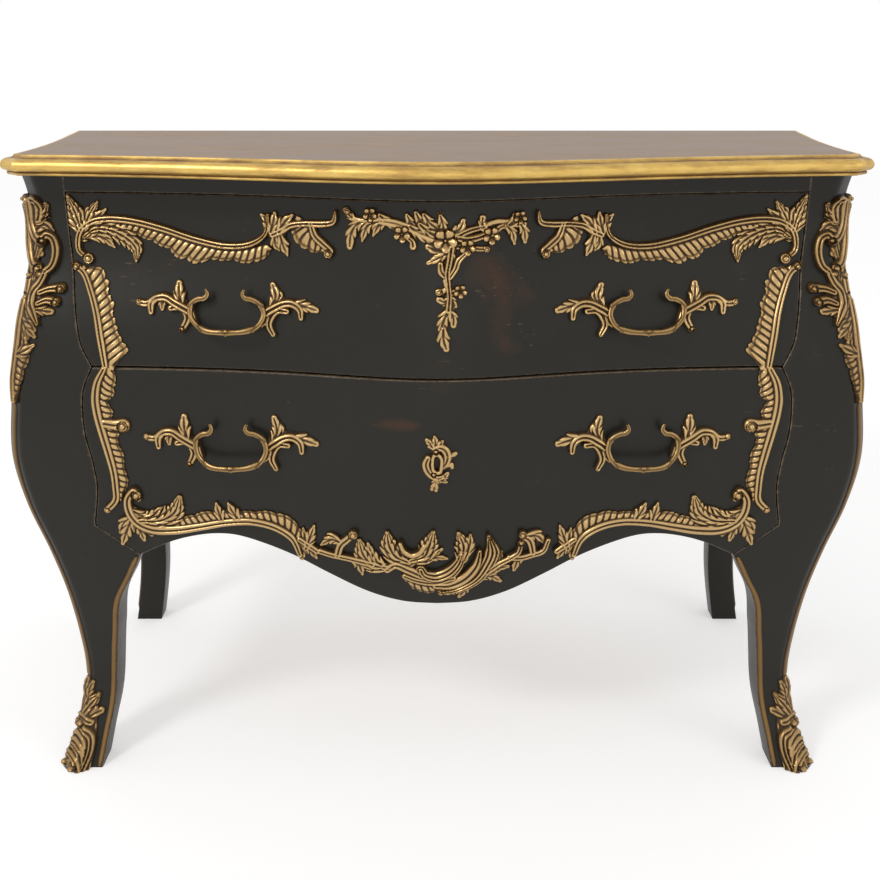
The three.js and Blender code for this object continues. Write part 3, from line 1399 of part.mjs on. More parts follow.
function arrisLine() {
  const rings = rowsBetween(postHeights, arrisLineFoot, arrisLineTop).map((z) => {
    const across = [-lineHalfWidth, lineHalfWidth];
    const low = across.map((a) => onCorner([a, z], mountGap));
    const high = across.map((a) => onCorner([a, z], mountGap + lineThickness));
    return [low[0], high[0], high[1], low[1]];
  });
  return loft(rings);
}

function innerLine() {
  const rings = rowsBetween(postHeights, innerLineFoot, innerLineTop).map((z) => {
    const inner = postEdge(z) + lineInset;
    const outer = inner + 2 * lineHalfWidth - lineInset;
    const out = mountGap + lineThickness;
    return [onFront([inner, z], mountGap), onFront([inner, z], out), onFront([outer, z], out),
      onFront([outer, z], mountGap)];
  });
  return loft(rings);
}

function backLine() {
  const rings = rowsBetween(backPostHeights, backLineFoot, backLineTop).map((z) => {
    const corners = [[backLineFace, 0], [backLineFace, 1], [backLineFace - 2 * lineHalfWidth, 1],
      [backLineFace - 2 * lineHalfWidth, 0]];
    return corners.map(([depth, out]) => {
      return cornerPoint(sideWidth(depth, z) + mountGap + out * lineThickness, depth, z);
    });
  });
  return loft(rings);
}

// Handles: two leafy ends screwed through the drawer front, and a bail that stands free between them

const upperHandleSpanShares = [-0.805, -0.314];
const upperHandleLiftLeft = 46.5;
const upperHandleLiftRight = 54.5;
const upperHandleHeight = 66.5;
const upperHandleField = {
  ...spanOf(upperHandleSpanShares),
  footLeft: upperHandleLiftLeft,
  footRight: upperHandleLiftRight,
  height: upperHandleHeight,
  crown: 0,
  lean: 0,
};

const lowerHandleSpanShares = [-0.788, -0.319];
const lowerHandleLiftLeft = -136.5;
const lowerHandleLiftRight = -126.5;
const lowerHandleHeight = 74;
const lowerHandleField = {
  ...spanOf(lowerHandleSpanShares),
  footLeft: lowerHandleLiftLeft,
  footRight: lowerHandleLiftRight,
  height: lowerHandleHeight,
  crown: 0,
  lean: 0,
};

const handleShares = [
  stem(
    [[0.02, 0.59], [0.06, 0.56], [0.12, 0.67], [0.17, 0.68], [0.22, 0.58], [0.3, 0.43]],
    [0.36, 0.32, 0.42, 0.45, 0.5, 0.5],
    [0.4, 0.5, 0.8, 0.9, 1.1, 1.15],
  ),
  stem([[0.12, 0.66], [0.09, 0.57], [0.09, 0.4]], [0.35, 0.42, 0.3], 0.6),
  leaf([[0.26, 0.55], [0.245, 0.74], [0.242, 0.95]], [0.5, 0.62, 0.3], 0.8),
  stem([[0.2, 0.475], [0.24, 0.49], [0.28, 0.42], [0.294, 0.28], [0.265, 0.06]], [0.35, 0.48, 0.35], 0.8),
  bead([0.265, 0.07], 0.38, 0.6),
  stem([[0.3, 0.46], [0.316, 0.32], [0.34, 0.18]], [0.5, 0.45, 0.25], 0.8),
  stem(
    [[0.918, 0.29], [0.91, 0.46], [0.87, 0.565], [0.82, 0.56], [0.77, 0.48], [0.73, 0.4]],
    [0.3, 0.42, 0.45, 0.45, 0.5, 0.5],
    [0.6, 0.7, 0.8, 0.9, 1.15, 1.15],
  ),
  leaf([[0.87, 0.57], [0.935, 0.52], [1, 0.445]], [0.4, 0.6, 0.3], 0.6),
  leaf([[0.757, 0.48], [0.78, 0.7], [0.763, 0.915]], [0.5, 0.62, 0.3], 0.8),
  stem([[0.84, 0.42], [0.79, 0.43], [0.755, 0.32], [0.743, 0.15], [0.767, -0.03]], [0.35, 0.48, 0.3], 0.8),
  stem([[0.73, 0.4], [0.725, 0.24], [0.706, 0.13]], [0.5, 0.42, 0.2], 0.8),
];

// The bail, from one curled tip round to the other: place, height off the front and radius
const bailShares = [
  [0.406, 0.804, 1.4, 0.22],
  [0.406, 0.66, 1.25, 0.32],
  [0.3536, 0.68, 1.1, 0.36],
  [0.3166, 0.563, 1.05, 0.4],
  [0.3166, 0.344, 1.25, 0.4],
  [0.364, 0.196, 1.9, 0.42],
  [0.4166, 0.104, 2.5, 0.42],
  [0.5227, 0.067, 2.8, 0.42],
  [0.628, 0.104, 2.5, 0.42],
  [0.6917, 0.196, 1.9, 0.42],
  [0.718, 0.38, 1.25, 0.4],
  [0.696, 0.563, 1.05, 0.4],
  [0.649, 0.68, 1.1, 0.36],
  [0.602, 0.66, 1.25, 0.32],
  [0.6, 0.77, 1.4, 0.22],
];
const bailSides = 4;
const bailSpans = 26;

function bail(field) {
  const points = bailShares.map(([s, t, out]) => {
    const [x, z] = inField(field, [s, t]);
    return new THREE.Vector3(x, out * field.unit, z);
  });
  const line = new THREE.CatmullRomCurve3(points);
  const rings = steps(0, 1, bailSpans).map((t) => {
    const at = line.getPointAt(t);
    const way = line.getTangentAt(t);
    const flat = Math.hypot(way.x, way.z);
    const radius = along(bailShares.map((row) => row[3]), t) * field.unit;
    return steps(0, 2 * Math.PI, bailSides).slice(1).map((angle) => {
      const side = (radius * Math.cos(angle)) / flat;
      return onFront([at.x - way.z * side, at.z + way.x * side], at.y + radius * Math.sin(angle));
    });
  });
  return loft(rings);
}

// The screws, at the bosses of the two ends
const screwShares = [[0.265, 0.5], [0.762, 0.52]];
const screwRadius = 3;
const screwReach = 8;
const screwHeadReach = 5;
const screwSides = 6;

function rod([x, z], radius, back, face) {
  const outline = steps(0, 2 * Math.PI, screwSides).slice(1).map((angle) => {
    return [x + radius * Math.cos(angle), z + radius * Math.sin(angle)];
  });
  return frontPrism(outline, back, face);
}

function handle(field) {
  const screws = screwShares.map((share) => {
    const place = inField(field, share);
    const face = frontDepth(place[0], place[1]);
    return rod(place, screwRadius, face - frontThickness - screwReach, face + screwHeadReach);
  });
  return joined([cast(handleShares, field, onFront, mountGap), bail(field), ...screws]);
}

function handleHoles(field) {
  const places = screwShares.map((share) => inField(field, share));
  const both = [...places, ...places.map(([x, z]) => [-x, z])];
  const reach = centreDepth + cutOverrun;
  return both.map((place) => rod(place, screwRadius + sleeveGap, frontCutDepth, reach));
}

// Materials and the finished chest

const finish = (color, metalness, roughness) =>
  new THREE.MeshStandardMaterial({ color, metalness, roughness, flatShading: true });
const lacquer = finish(0x2c2b2a, 0, 0.4);
const topWood = finish(0x7d7368, 0, 0.35);
const plainWood = finish(0x9a7b52, 0, 0.7);
const gilt = finish(0xc29a4e, 1, 0.4);
const iron = finish(0x5a5854, 1, 0.5);

const chest = new THREE.Group();
chest.name = "commode_chest";

function add(name, geometry, material) {
  const mesh = new THREE.Mesh(geometry, material);
  mesh.name = name;
  chest.add(mesh);
}

function addPair(name, geometry, material) {
  add(name + "_right", geometry, material);
  add(name + "_left", mirrorOf(geometry), material);
}

const post = frontPost();
const mouldings = topMouldings();
add("top_panel", topPanel(), topWood);
add("top_moulding_front", mouldings.front, gilt);
add("top_moulding_corner_right", mouldings.cornerRight, gilt);
add("top_moulding_corner_left", mouldings.cornerLeft, gilt);
add("top_moulding_side_right", mouldings.sideRight, gilt);
add("top_moulding_side_left", mouldings.sideLeft, gilt);
add("frieze_rail", friezeRail(), lacquer);
addPair("front_post", post, lacquer);
addPair("back_post", backPost(), lacquer);
addPair("side_panel", sidePanel(), lacquer);
add("back_panel", backPanel(), plainWood);
add("divider_rail", dividerRail(), plainWood);
add("rear_rail", rearRail(), plainWood);
add("dust_board", dustBoard(), plainWood);
add("bottom_board", bottomBoard(), plainWood);
addPair("upper_runner", upperRunner(), plainWood);
addPair("lower_runner", lowerRunner(), plainWood);
addPair("chute_mount", onPost(chuteShares, chuteField, post), gilt);
addPair("sabot", onPost(sabotShares, sabotField, post), gilt);
addPair("arris_line", arrisLine(), gilt);
addPair("inner_leg_line", innerLine(), gilt);
addPair("back_leg_line", backLine(), gilt);

add("top_drawer_front", upperFront(), lacquer);
addPair("top_drawer_side", drawerSide(upperBoxFoot, upperBoxHeight, upperRowHeights), plainWood);
add("top_drawer_back", drawerBackBoard(upperBoxFoot, upperBoxHeight), plainWood);
add("top_drawer_bottom", drawerBottom(upperBoxFoot, upperRowHeights), plainWood);
const frieze = cast(friezeShares, friezeField, onFront, mountGap);
add("frieze_mount_left", frieze, gilt);
add("frieze_mount_right", mirrorOf(frieze), gilt);
add("garland_mount", cast(garlandShares, garlandField, onFront, mountGap), gilt);
const upperFeather = cast(upperFeatherShares, upperFeatherField, onFront, mountGap);
add("top_feather_mount_left", upperFeather, gilt);
add("top_feather_mount_right", mirrorOf(upperFeather), gilt);
const upperHandle = handle(upperHandleField);
add("top_handle_left", upperHandle, gilt);
add("top_handle_right", mirrorOf(upperHandle), gilt);

add("bottom_drawer_front", lowerFront(), lacquer);
addPair("bottom_drawer_side", drawerSide(lowerBoxFoot, lowerBoxHeight, lowerRowHeights), plainWood);
add("bottom_drawer_back", drawerBackBoard(lowerBoxFoot, lowerBoxHeight), plainWood);
add("bottom_drawer_bottom", drawerBottom(lowerBoxFoot, lowerRowHeights), plainWood);
const lowerFeather = cast(lowerFeatherShares, lowerFeatherField, onFront, mountGap);
add("bottom_feather_mount_left", lowerFeather, gilt);
add("bottom_feather_mount_right", mirrorOf(lowerFeather), gilt);
const scroll = cast(scrollShares, scrollField, onFront, mountGap);
add("scroll_mount_left", scroll, gilt);
add("scroll_mount_right", mirrorOf(scroll), gilt);
add("cartouche_mount", cast(cartoucheShares, cartoucheField, onFront, mountGap), gilt);
add("escutcheon", cast(escutcheonShares, escutcheonField, onFront, escutcheonGap), gilt);
const lowerHandle = handle(lowerHandleField);
add("bottom_handle_left", lowerHandle, gilt);
add("bottom_handle_right", mirrorOf(lowerHandle), gilt);
add("lock_case", lockCase(), iron);
add("lock_bolt", lockBolt(), iron);

export default chest;
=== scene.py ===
# %% [markdown]
# A commode chest with two drawers, dressed for rendering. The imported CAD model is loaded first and
# stays as it is: it says where every board and mount sits and which body carries it. The cells
# below lay finer surfaces over it, in metres, with millimetres as the working unit.

# %% Load the frame
import math
import bpy
import numpy as np
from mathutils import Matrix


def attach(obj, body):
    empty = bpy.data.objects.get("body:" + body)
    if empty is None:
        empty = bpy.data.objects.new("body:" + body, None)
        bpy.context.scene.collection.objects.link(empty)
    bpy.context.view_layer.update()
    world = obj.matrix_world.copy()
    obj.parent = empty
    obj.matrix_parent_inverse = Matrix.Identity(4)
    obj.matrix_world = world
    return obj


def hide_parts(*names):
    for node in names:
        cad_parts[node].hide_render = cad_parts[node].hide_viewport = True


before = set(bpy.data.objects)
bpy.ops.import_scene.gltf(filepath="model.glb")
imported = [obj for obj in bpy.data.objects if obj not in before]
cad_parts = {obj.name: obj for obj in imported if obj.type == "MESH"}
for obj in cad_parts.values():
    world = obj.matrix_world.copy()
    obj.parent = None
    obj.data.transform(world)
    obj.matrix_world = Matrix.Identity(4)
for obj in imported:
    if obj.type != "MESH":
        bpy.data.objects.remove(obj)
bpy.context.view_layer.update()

# %% [markdown]
# The camera comes first, because everything is judged through it. It stands a little above the
# top and looks slightly down, close enough for the bowed front to bulge. The sensor is shifted
# down so that the whole chest sits in a square picture without tilting its verticals further.

# %% Camera
image_side = 880
focal_pixels = 1113.5
sensor_mm = 36
camera_place = (0, -1.6205, 1.013)
camera_dip = math.radians(12.17)
principal_column = 437
principal_row = 290.4

camera_data = bpy.data.cameras.new("camera")
camera_data.sensor_width = sensor_mm
camera_data.lens = sensor_mm * focal_pixels / image_side
camera_data.shift_x = 0.5 - principal_column / image_side
camera_data.shift_y = principal_row / image_side - 0.5
camera = bpy.data.objects.new("camera", camera_data)
camera.location = camera_place
camera.rotation_euler = (math.pi / 2 - camera_dip, 0, 0)
bpy.context.scene.collection.objects.link(camera)
bpy.context.scene.camera = camera
print("lens", round(camera_data.lens, 2), "mm")

# %% [markdown]
# Every face of this chest swells: the middle of the front comes forward in a bell, and the sides
# flare toward the back. So the surface is written as a few formulas, and each board, line and
# mount is laid on them. The tables hold shares of the main sizes, row by row up the chest, and a
# smooth curve is drawn through each table.

# %% Sizes of the chest, in millimetres
MM = 0.001
chest_height = 880
top_thickness = 27
carcase_height = chest_height - top_thickness
body_half_width = 584
corner_depth = 474
centre_depth = 527
opening_half_width = 501
front_to_back = 562
belly_height = 470

# %% Profiles
profile_shares = np.array([
    [0, 0.911, 1.0, 0.87, 0.938],
    [0.035, 0.897, 0.97, 0.87, 0.93],
    [0.13, 0.882, 0.911, 0.87, 0.915],
    [0.22, 0.887, 0.924, 0.885, 0.917],
    [0.293, 0.904, 0.945, 0.918, 0.928],
    [0.387, 0.943, 0.968, 0.954, 0.955],
    [0.47, 0.981, 0.987, 0.979, 0.985],
    [0.55, 1.0, 1.0, 0.997, 1.002],
    [0.633, 0.995, 0.994, 1.003, 1.007],
    [0.75, 0.978, 0.958, 0.996, 1.003],
    [0.88, 0.955, 0.88, 0.974, 0.993],
    [0.966, 0.959, 0.859, 0.962, 1.0],
    [1.0, 0.971, 0.863, 0.968, 1.003],
])
leg_edge_shares = np.array([
    [0, 0.964],
    [0.047, 0.952],
    [0.092, 0.938],
    [0.162, 0.928],
    [0.229, 0.914],
    [0.3, 0.892],
    [0.339, 0.858],
    [0.381, 0.824],
])
lower_edge_shares = np.array([
    [0.443, 0.942],
    [0.469, 0.934],
    [0.504, 0.926],
    [0.545, 0.931],
    [0.5955, 0.948],
    [0.633, 0.952],
    [0.666, 0.948],
    [0.7016, 0.924],
])
upper_edge_shares = np.array([
    [0.7016, 0.924],
    [0.736, 0.954],
    [0.768, 0.965],
    [0.809, 0.974],
    [0.859, 0.981],
    [0.911, 0.992],
    [0.97, 1.0],
])


def smooth_through(places, values):
    """The value of a smooth curve through a table, at any place or array of places."""
    places, values = np.asarray(places, float), np.asarray(values, float)
    spans = np.diff(places)
    rises = np.diff(values) / spans
    slopes = np.empty_like(values)
    slopes[0], slopes[-1] = rises[0], rises[-1]
    slopes[1:-1] = (spans[1:] * rises[:-1] + spans[:-1] * rises[1:]) / (spans[:-1] + spans[1:])

    def value_at(place):
        inside = np.clip(place, places[0], places[-1])
        i = np.clip(np.searchsorted(places, inside) - 1, 0, len(spans) - 1)
        t = (inside - places[i]) / spans[i]
        hold = values[i] * (1 + 2 * t) * (1 - t) ** 2 + values[i + 1] * t * t * (3 - 2 * t)
        return hold + spans[i] * t * (1 - t) * ((1 - t) * slopes[i] - t * slopes[i + 1])

    return value_at


def profile(column, size):
    return smooth_through(profile_shares[:, 0] * carcase_height, profile_shares[:, column] * size)


def edge_curve(shares):
    return smooth_through(shares[:, 0] * carcase_height, shares[:, 1] * opening_half_width)


corner_half_width = profile(1, body_half_width)
corner_forward = profile(2, corner_depth)
centre_forward = profile(3, centre_depth)
back_half_width = profile(4, body_half_width)
leg_edge = edge_curve(leg_edge_shares)
lower_edge = edge_curve(lower_edge_shares)
upper_edge = edge_curve(upper_edge_shares)
print("half width at the belly", float(corner_half_width(belly_height)))

# %% Surfaces
bell_width_low = 145
bell_width_high = 170
bell_spread = (600, 825)
leg_cant = 12
body_cant = 20
cant_spread = (180, 340)
side_flare = 0.6
ear_foot = 325
ear_top = 371
division = 598.5


def ramp(value, low, high):
    t = np.clip((value - low) / (high - low), 0, 1)
    return t * t * (3 - 2 * t)


def mix(a, b, share):
    return a + (b - a) * share


def bell(x, width):
    return 1 / np.cosh(x / width)


def cant_at(z):
    return mix(leg_cant, body_cant, ramp(z, *cant_spread))


def front_depth(x, z):
    """How far forward of the flat back the front's face lies."""
    width = mix(bell_width_low, bell_width_high, ramp(z, *bell_spread))
    rim = bell(corner_half_width(z), width)
    swell = np.maximum(0, (bell(x, width) - rim) / (1 - rim))
    return mix(corner_forward(z), centre_forward(z), swell)


def side_width(depth, z):
    """Half width of the chest at a depth: it flares toward the back."""
    start = corner_forward(z) - cant_at(z)
    t = np.maximum(0, (start - depth) / start)
    return mix(corner_half_width(z), back_half_width(z), t * t * (1 + side_flare - side_flare * t))


def post_edge(z):
    """Inner edge of the corner post's face, beside the drawers and down the leg."""
    z = np.asarray(z, float)
    ear = mix(leg_edge(ear_foot), lower_edge(ear_top), (z - ear_foot) / (ear_top - ear_foot))
    above = np.where(z <= division, lower_edge(z), upper_edge(z))
    return np.where(z <= ear_foot, leg_edge(z), np.where(z < ear_top, ear, above))


def place(x, depth, z):
    """Points of the frame, still in millimetres."""
    x, depth, z = np.broadcast_arrays(x, depth, z)
    return np.stack([x, front_to_back / 2 - depth, z], axis=-1).astype(float)


corner_round = 6


def on_front(across, z, lift):
    return place(across, front_depth(across, z) + lift, z)


def on_corner(across, z, lift):
    """Across the canted corner: nought in its middle, positive toward the front."""
    half = cant_at(z) / math.sqrt(2)
    on_cant = np.clip(across, -half, half)
    beyond = across - on_cant
    turn = math.pi / 4 * (1 + np.clip(across / (half + corner_round), -1, 1))
    x = corner_half_width(z) - (half + on_cant) / math.sqrt(2) - np.maximum(0, beyond)
    depth = corner_forward(z) - (half - on_cant) / math.sqrt(2)
    face = np.where(beyond > 0, np.maximum(depth, front_depth(x, z)), depth + np.minimum(0, beyond))
    out = np.where(beyond < 0, side_width(face, z), x)
    return place(out + lift * np.cos(turn), face + lift * np.sin(turn), z)


print("front face at the middle of the belly", float(front_depth(0, belly_height)))

# %% [markdown]
# Two kinds of mesh make nearly all of the chest. A board is a grid of points on its face and the
# same grid on its back, closed round the rim. A rod or post is lofted through rings. Both come
# out closed, and a signed volume says whether the faces look outward.

# %% Mesh helpers
def outward(points, faces):
    """The faces, all turned round if they enclose a negative volume."""
    fans = [(face[0], face[i], face[i + 1]) for face in faces for i in range(1, len(face) - 1)]
    a, b, c = (points[corner] for corner in np.array(fans).T)
    volume = np.einsum("ij,ij->", a, np.cross(b, c))
    return [face[::-1] for face in faces] if volume < 0 else faces


def grid_faces(index):
    """Quads of a grid of point numbers."""
    quads = np.stack([index[:-1, :-1], index[1:, :-1], index[1:, 1:], index[:-1, 1:]], axis=-1)
    return quads.reshape(-1, 4).tolist()


def board(face, back):
    """A closed board from two grids of points, the face first."""
    columns, rows = face.shape[:2]
    index = np.arange(columns * rows).reshape(columns, rows)
    rim = [*index[:, 0], *index[-1, 1:], *index[-2::-1, -1], *index[0, -2:0:-1]]
    ahead = rim[1:] + rim[:1]
    count = columns * rows
    wall = [[int(b), int(a), int(a) + count, int(b) + count] for a, b in zip(rim, ahead)]
    rear = [quad[::-1] for quad in grid_faces(index + count)]
    points = np.concatenate([face.reshape(-1, 3), back.reshape(-1, 3)])
    faces = grid_faces(index) + rear + wall
    return points, outward(points, faces)


def loft(rings):
    """A closed solid through rings, an array of ring, corner and coordinate."""
    count, corners = rings.shape[:2]
    index = np.arange(count * corners).reshape(count, corners)
    wrapped = np.concatenate([index, index[:, :1]], axis=1)
    ends = [index[0].tolist(), index[-1].tolist()[::-1]]
    points = rings.reshape(-1, 3)
    return points, outward(points, grid_faces(wrapped) + ends)


def together(*shapes):
    """Several closed shapes as one mesh."""
    points, faces = [], []
    start = 0
    for shape_points, shape_faces in shapes:
        points.append(shape_points)
        faces += [[i + start for i in face] for face in shape_faces]
        start += len(shape_points)
    return np.concatenate(points), faces


def other_side(shape):
    """The same shape on the other side of the chest."""
    points, faces = shape
    return points * [-1, 1, 1], [face[::-1] for face in faces]


hands = (("right", lambda shape: shape), ("left", other_side))


def make_piece(name, shape, material, body, nodes, slot, crease=35, **marks):
    """An object from points in millimetres, riding on its body in place of the CAD nodes."""
    points, faces = shape
    mesh = bpy.data.meshes.new(name)
    mesh.from_pydata((points * MM).tolist(), [], faces)
    for mark, values in marks.items():
        layer = mesh.attributes.new(mark, "FLOAT", "POINT")
        layer.data.foreach_set("value", np.asarray(values, dtype=np.float32).ravel())
    mesh.materials.append(material)
    mesh.shade_smooth()
    mesh.set_sharp_from_angle(angle=math.radians(crease))
    piece = bpy.data.objects.new(name, mesh)
    bpy.context.scene.collection.objects.link(piece)
    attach(piece, body)
    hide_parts(*nodes)
    print(name, len(faces), "faces")
    return piece

# %% [markdown]
# The finishes come next. Colours are written as the hex values that a picture shows, and one
# function turns them to the linear numbers that a shader works in. One more adds a node with its
# settings and links, so that each finish reads as a short list of what lies over what.

# %% Material helpers
def linear(hex_colour):
    """An sRGB hex colour as linear red, green, blue and alpha."""
    parts = [int(hex_colour[i:i + 2], 16) / 255 for i in (1, 3, 5)]
    return [p / 12.92 if p <= 0.04045 else ((p + 0.055) / 1.055) ** 2.4 for p in parts] + [1]


def first_socket(source):
    return source.outputs[0] if isinstance(source, bpy.types.Node) else source


def add(material, kind, inputs=None, **settings):
    """A node with its settings; an input takes a value, a socket, or a node for its first socket."""
    made = material.node_tree.nodes.new("ShaderNode" + kind)
    for name, value in settings.items():
        setattr(made, name, value)
    for name, value in (inputs or {}).items():
        if isinstance(value, (bpy.types.Node, bpy.types.NodeSocket)):
            material.node_tree.links.new(first_socket(value), made.inputs[name])
        else:
            made.inputs[name].default_value = value
    return made


def finish(name, **settings):
    """A material and its shader, with the shader's plain values set by name."""
    material = bpy.data.materials.new(name)
    material.use_nodes = True
    shader = material.node_tree.nodes["Principled BSDF"]
    for socket, value in settings.items():
        shader.inputs[socket.replace("_", " ")].default_value = value
    return material, shader


def feed(material, shader, **sockets):
    """Feed the shader's inputs from nodes or sockets."""
    for name, source in sockets.items():
        material.node_tree.links.new(first_socket(source), shader.inputs[name.replace("_", " ")])


COLOUR_A, COLOUR_B, MIXED_COLOUR = 6, 7, 2
NUMBER_A, NUMBER_B = 2, 3


def per_metre(size_mm):
    """Texture scale for a pattern that repeats every so many millimetres."""
    return 1 / (size_mm * MM)


# %% [markdown]
# The body is wood under black paint. Paint is a dielectric with an IOR near 1.5. It was brushed on
# and rubbed by two centuries of dusting, so it is satin and not even: brown wood shows through in
# faint patches and along the edges that hands and drawers rub. Each board carries an "edge" mark,
# 1 at its arris, and the paint thins where that mark meets the noise.

# %% Black paint
def black_paint():
    material, shader = finish("rubbed_black_paint", IOR=1.5, Specular_IOR_Level=0.27)
    where = add(material, "TexCoord").outputs["Object"]
    patch = add(material, "TexNoise",
                {"Vector": where, "Scale": per_metre(70), "Detail": 6, "Roughness": 0.7})
    speck = add(material, "TexNoise",
                {"Vector": where, "Scale": per_metre(7), "Detail": 5, "Roughness": 0.75})
    stretched = add(material, "Mapping", {"Vector": where, "Scale": (1, 1, 0.12)})
    fibre = add(material, "TexNoise", {"Vector": stretched, "Scale": per_metre(2.4), "Detail": 4})
    edge = add(material, "Attribute", attribute_name="edge")
    rubbed = add(material, "MapRange",
                 {"Value": patch, "From Min": 0.56, "From Max": 0.78, "To Max": 0.5})
    brown_black = add(material, "Mix",
                      {0: rubbed, COLOUR_A: linear("#1d1b14"), COLOUR_B: linear("#30251a")},
                      data_type="RGBA")
    worn = add(material, "Math", {0: edge.outputs["Fac"], 1: speck}, operation="MULTIPLY")
    bare = add(material, "MapRange", {"Value": worn, "From Min": 0.24, "From Max": 0.48, "To Max": 0.7})
    rub = add(material, "Attribute", attribute_name="rub")
    broken = add(material, "TexNoise",
                 {"Vector": where, "Scale": per_metre(38), "Detail": 9, "Roughness": 0.78})
    thin = add(material, "Math", {0: rub.outputs["Fac"], 1: broken}, operation="MULTIPLY")
    show = add(material, "MapRange", {"Value": thin, "From Min": 0.34, "From Max": 0.8, "To Max": 0.34})
    red_brown = add(material, "Mix",
                    {0: show, COLOUR_A: brown_black.outputs[MIXED_COLOUR],
                     COLOUR_B: linear("#6a4023")}, data_type="RGBA")
    lengthwise = add(material, "Mapping", {"Vector": where, "Scale": (0.035, 1, 1)})
    hair = add(material, "TexNoise", {"Vector": lengthwise, "Scale": per_metre(3.2), "Detail": 2})
    touched = add(material, "Math",
                  {0: rub.outputs["Fac"], 1: 0.11, 2: patch}, operation="MULTIPLY_ADD")
    few = add(material, "Math", {0: hair, 1: touched}, operation="MULTIPLY")
    scratch = add(material, "MapRange",
                  {"Value": few, "From Min": 0.42, "From Max": 0.5, "To Max": 0.6})
    scratched = add(material, "Mix",
                    {0: scratch, COLOUR_A: red_brown.outputs[MIXED_COLOUR],
                     COLOUR_B: linear("#6d5c48")}, data_type="RGBA")
    colour = add(material, "Mix",
                 {0: bare, COLOUR_A: scratched.outputs[MIXED_COLOUR],
                  COLOUR_B: linear("#8f7c66")}, data_type="RGBA")
    gloss = add(material, "MapRange", {"Value": speck, "To Min": 0.24, "To Max": 0.46})
    rise = add(material, "Math", {0: fibre, 1: speck}, operation="ADD")
    bump = add(material, "Bump", {"Height": rise, "Strength": 0.12, "Distance": 0.3 * MM})
    feed(material, shader, Base_Color=colour.outputs[MIXED_COLOUR], Roughness=gloss, Normal=bump)
    return material


# %% [markdown]
# The top is bare of paint: an old wax polish over wood stained a greyish brown, with long dark
# figure across it. The grain is noise stretched along X, because boards lie along the chest.

# %% Polished top
def polished_top():
    material, shader = finish("waxed_brown_top", IOR=1.47, Specular_IOR_Level=0.42)
    where = add(material, "TexCoord").outputs["Object"]
    along_grain = add(material, "Mapping", {"Vector": where, "Scale": (0.06, 1, 1)})
    grain = add(material, "TexNoise",
                {"Vector": along_grain, "Scale": per_metre(3), "Detail": 6, "Roughness": 0.7})
    stretched = add(material, "Mapping", {"Vector": where, "Scale": (0.35, 1, 1)})
    cloud = add(material, "TexNoise", {"Vector": stretched, "Scale": per_metre(110), "Detail": 4})
    stain = add(material, "MapRange", {"Value": cloud, "From Min": 0.35, "From Max": 0.68})
    base = add(material, "Mix",
               {0: stain, COLOUR_A: linear("#7d5835"), COLOUR_B: linear("#b39064")},
               data_type="RGBA")
    dark = add(material, "MapRange",
               {"Value": grain, "From Min": 0.38, "From Max": 0.62, "To Max": 0.55})
    colour = add(material, "Mix",
                 {0: dark, COLOUR_A: linear("#664a2f"), COLOUR_B: base.outputs[MIXED_COLOUR]},
                 data_type="RGBA")
    gloss = add(material, "MapRange", {"Value": cloud, "To Min": 0.3, "To Max": 0.55})
    bump = add(material, "Bump", {"Height": grain, "Strength": 0.1, "Distance": 0.2 * MM})
    feed(material, shader, Base_Color=colour.outputs[MIXED_COLOUR], Roughness=gloss, Normal=bump)
    return material


# %% [markdown]
# Inside, the boards are unpolished softwood and oak, sawn and planed. Rough bare wood scatters
# light, so the roughness is high and the pores are a real dent in the surface.

# %% Planed wood
def planed_wood(name, pale, dark, grain_scale):
    """Bare planed wood whose grain runs where the scale is small."""
    material, shader = finish(name, IOR=1.53, Roughness=0.72)
    where = add(material, "TexCoord").outputs["Object"]
    along_grain = add(material, "Mapping", {"Vector": where, "Scale": grain_scale})
    ring = add(material, "TexNoise",
               {"Vector": along_grain, "Scale": per_metre(9), "Detail": 3, "Distortion": 0.6})
    fibre = add(material, "TexNoise", {"Vector": along_grain, "Scale": per_metre(1.6), "Detail": 5})
    band = add(material, "MapRange", {"Value": ring, "From Min": 0.35, "From Max": 0.65})
    base = add(material, "Mix",
               {0: band, COLOUR_A: linear(dark), COLOUR_B: linear(pale)}, data_type="RGBA")
    streak = add(material, "MapRange",
                 {"Value": fibre, "From Min": 0.3, "From Max": 0.7,
                  "To Min": 0.82, "To Max": 1.05})
    shade = add(material, "VectorMath",
                {0: base.outputs[MIXED_COLOUR], "Scale": streak}, operation="SCALE")
    bump = add(material, "Bump", {"Height": fibre, "Strength": 0.25, "Distance": 0.3 * MM})
    feed(material, shader, Base_Color=shade, Normal=bump)
    return material
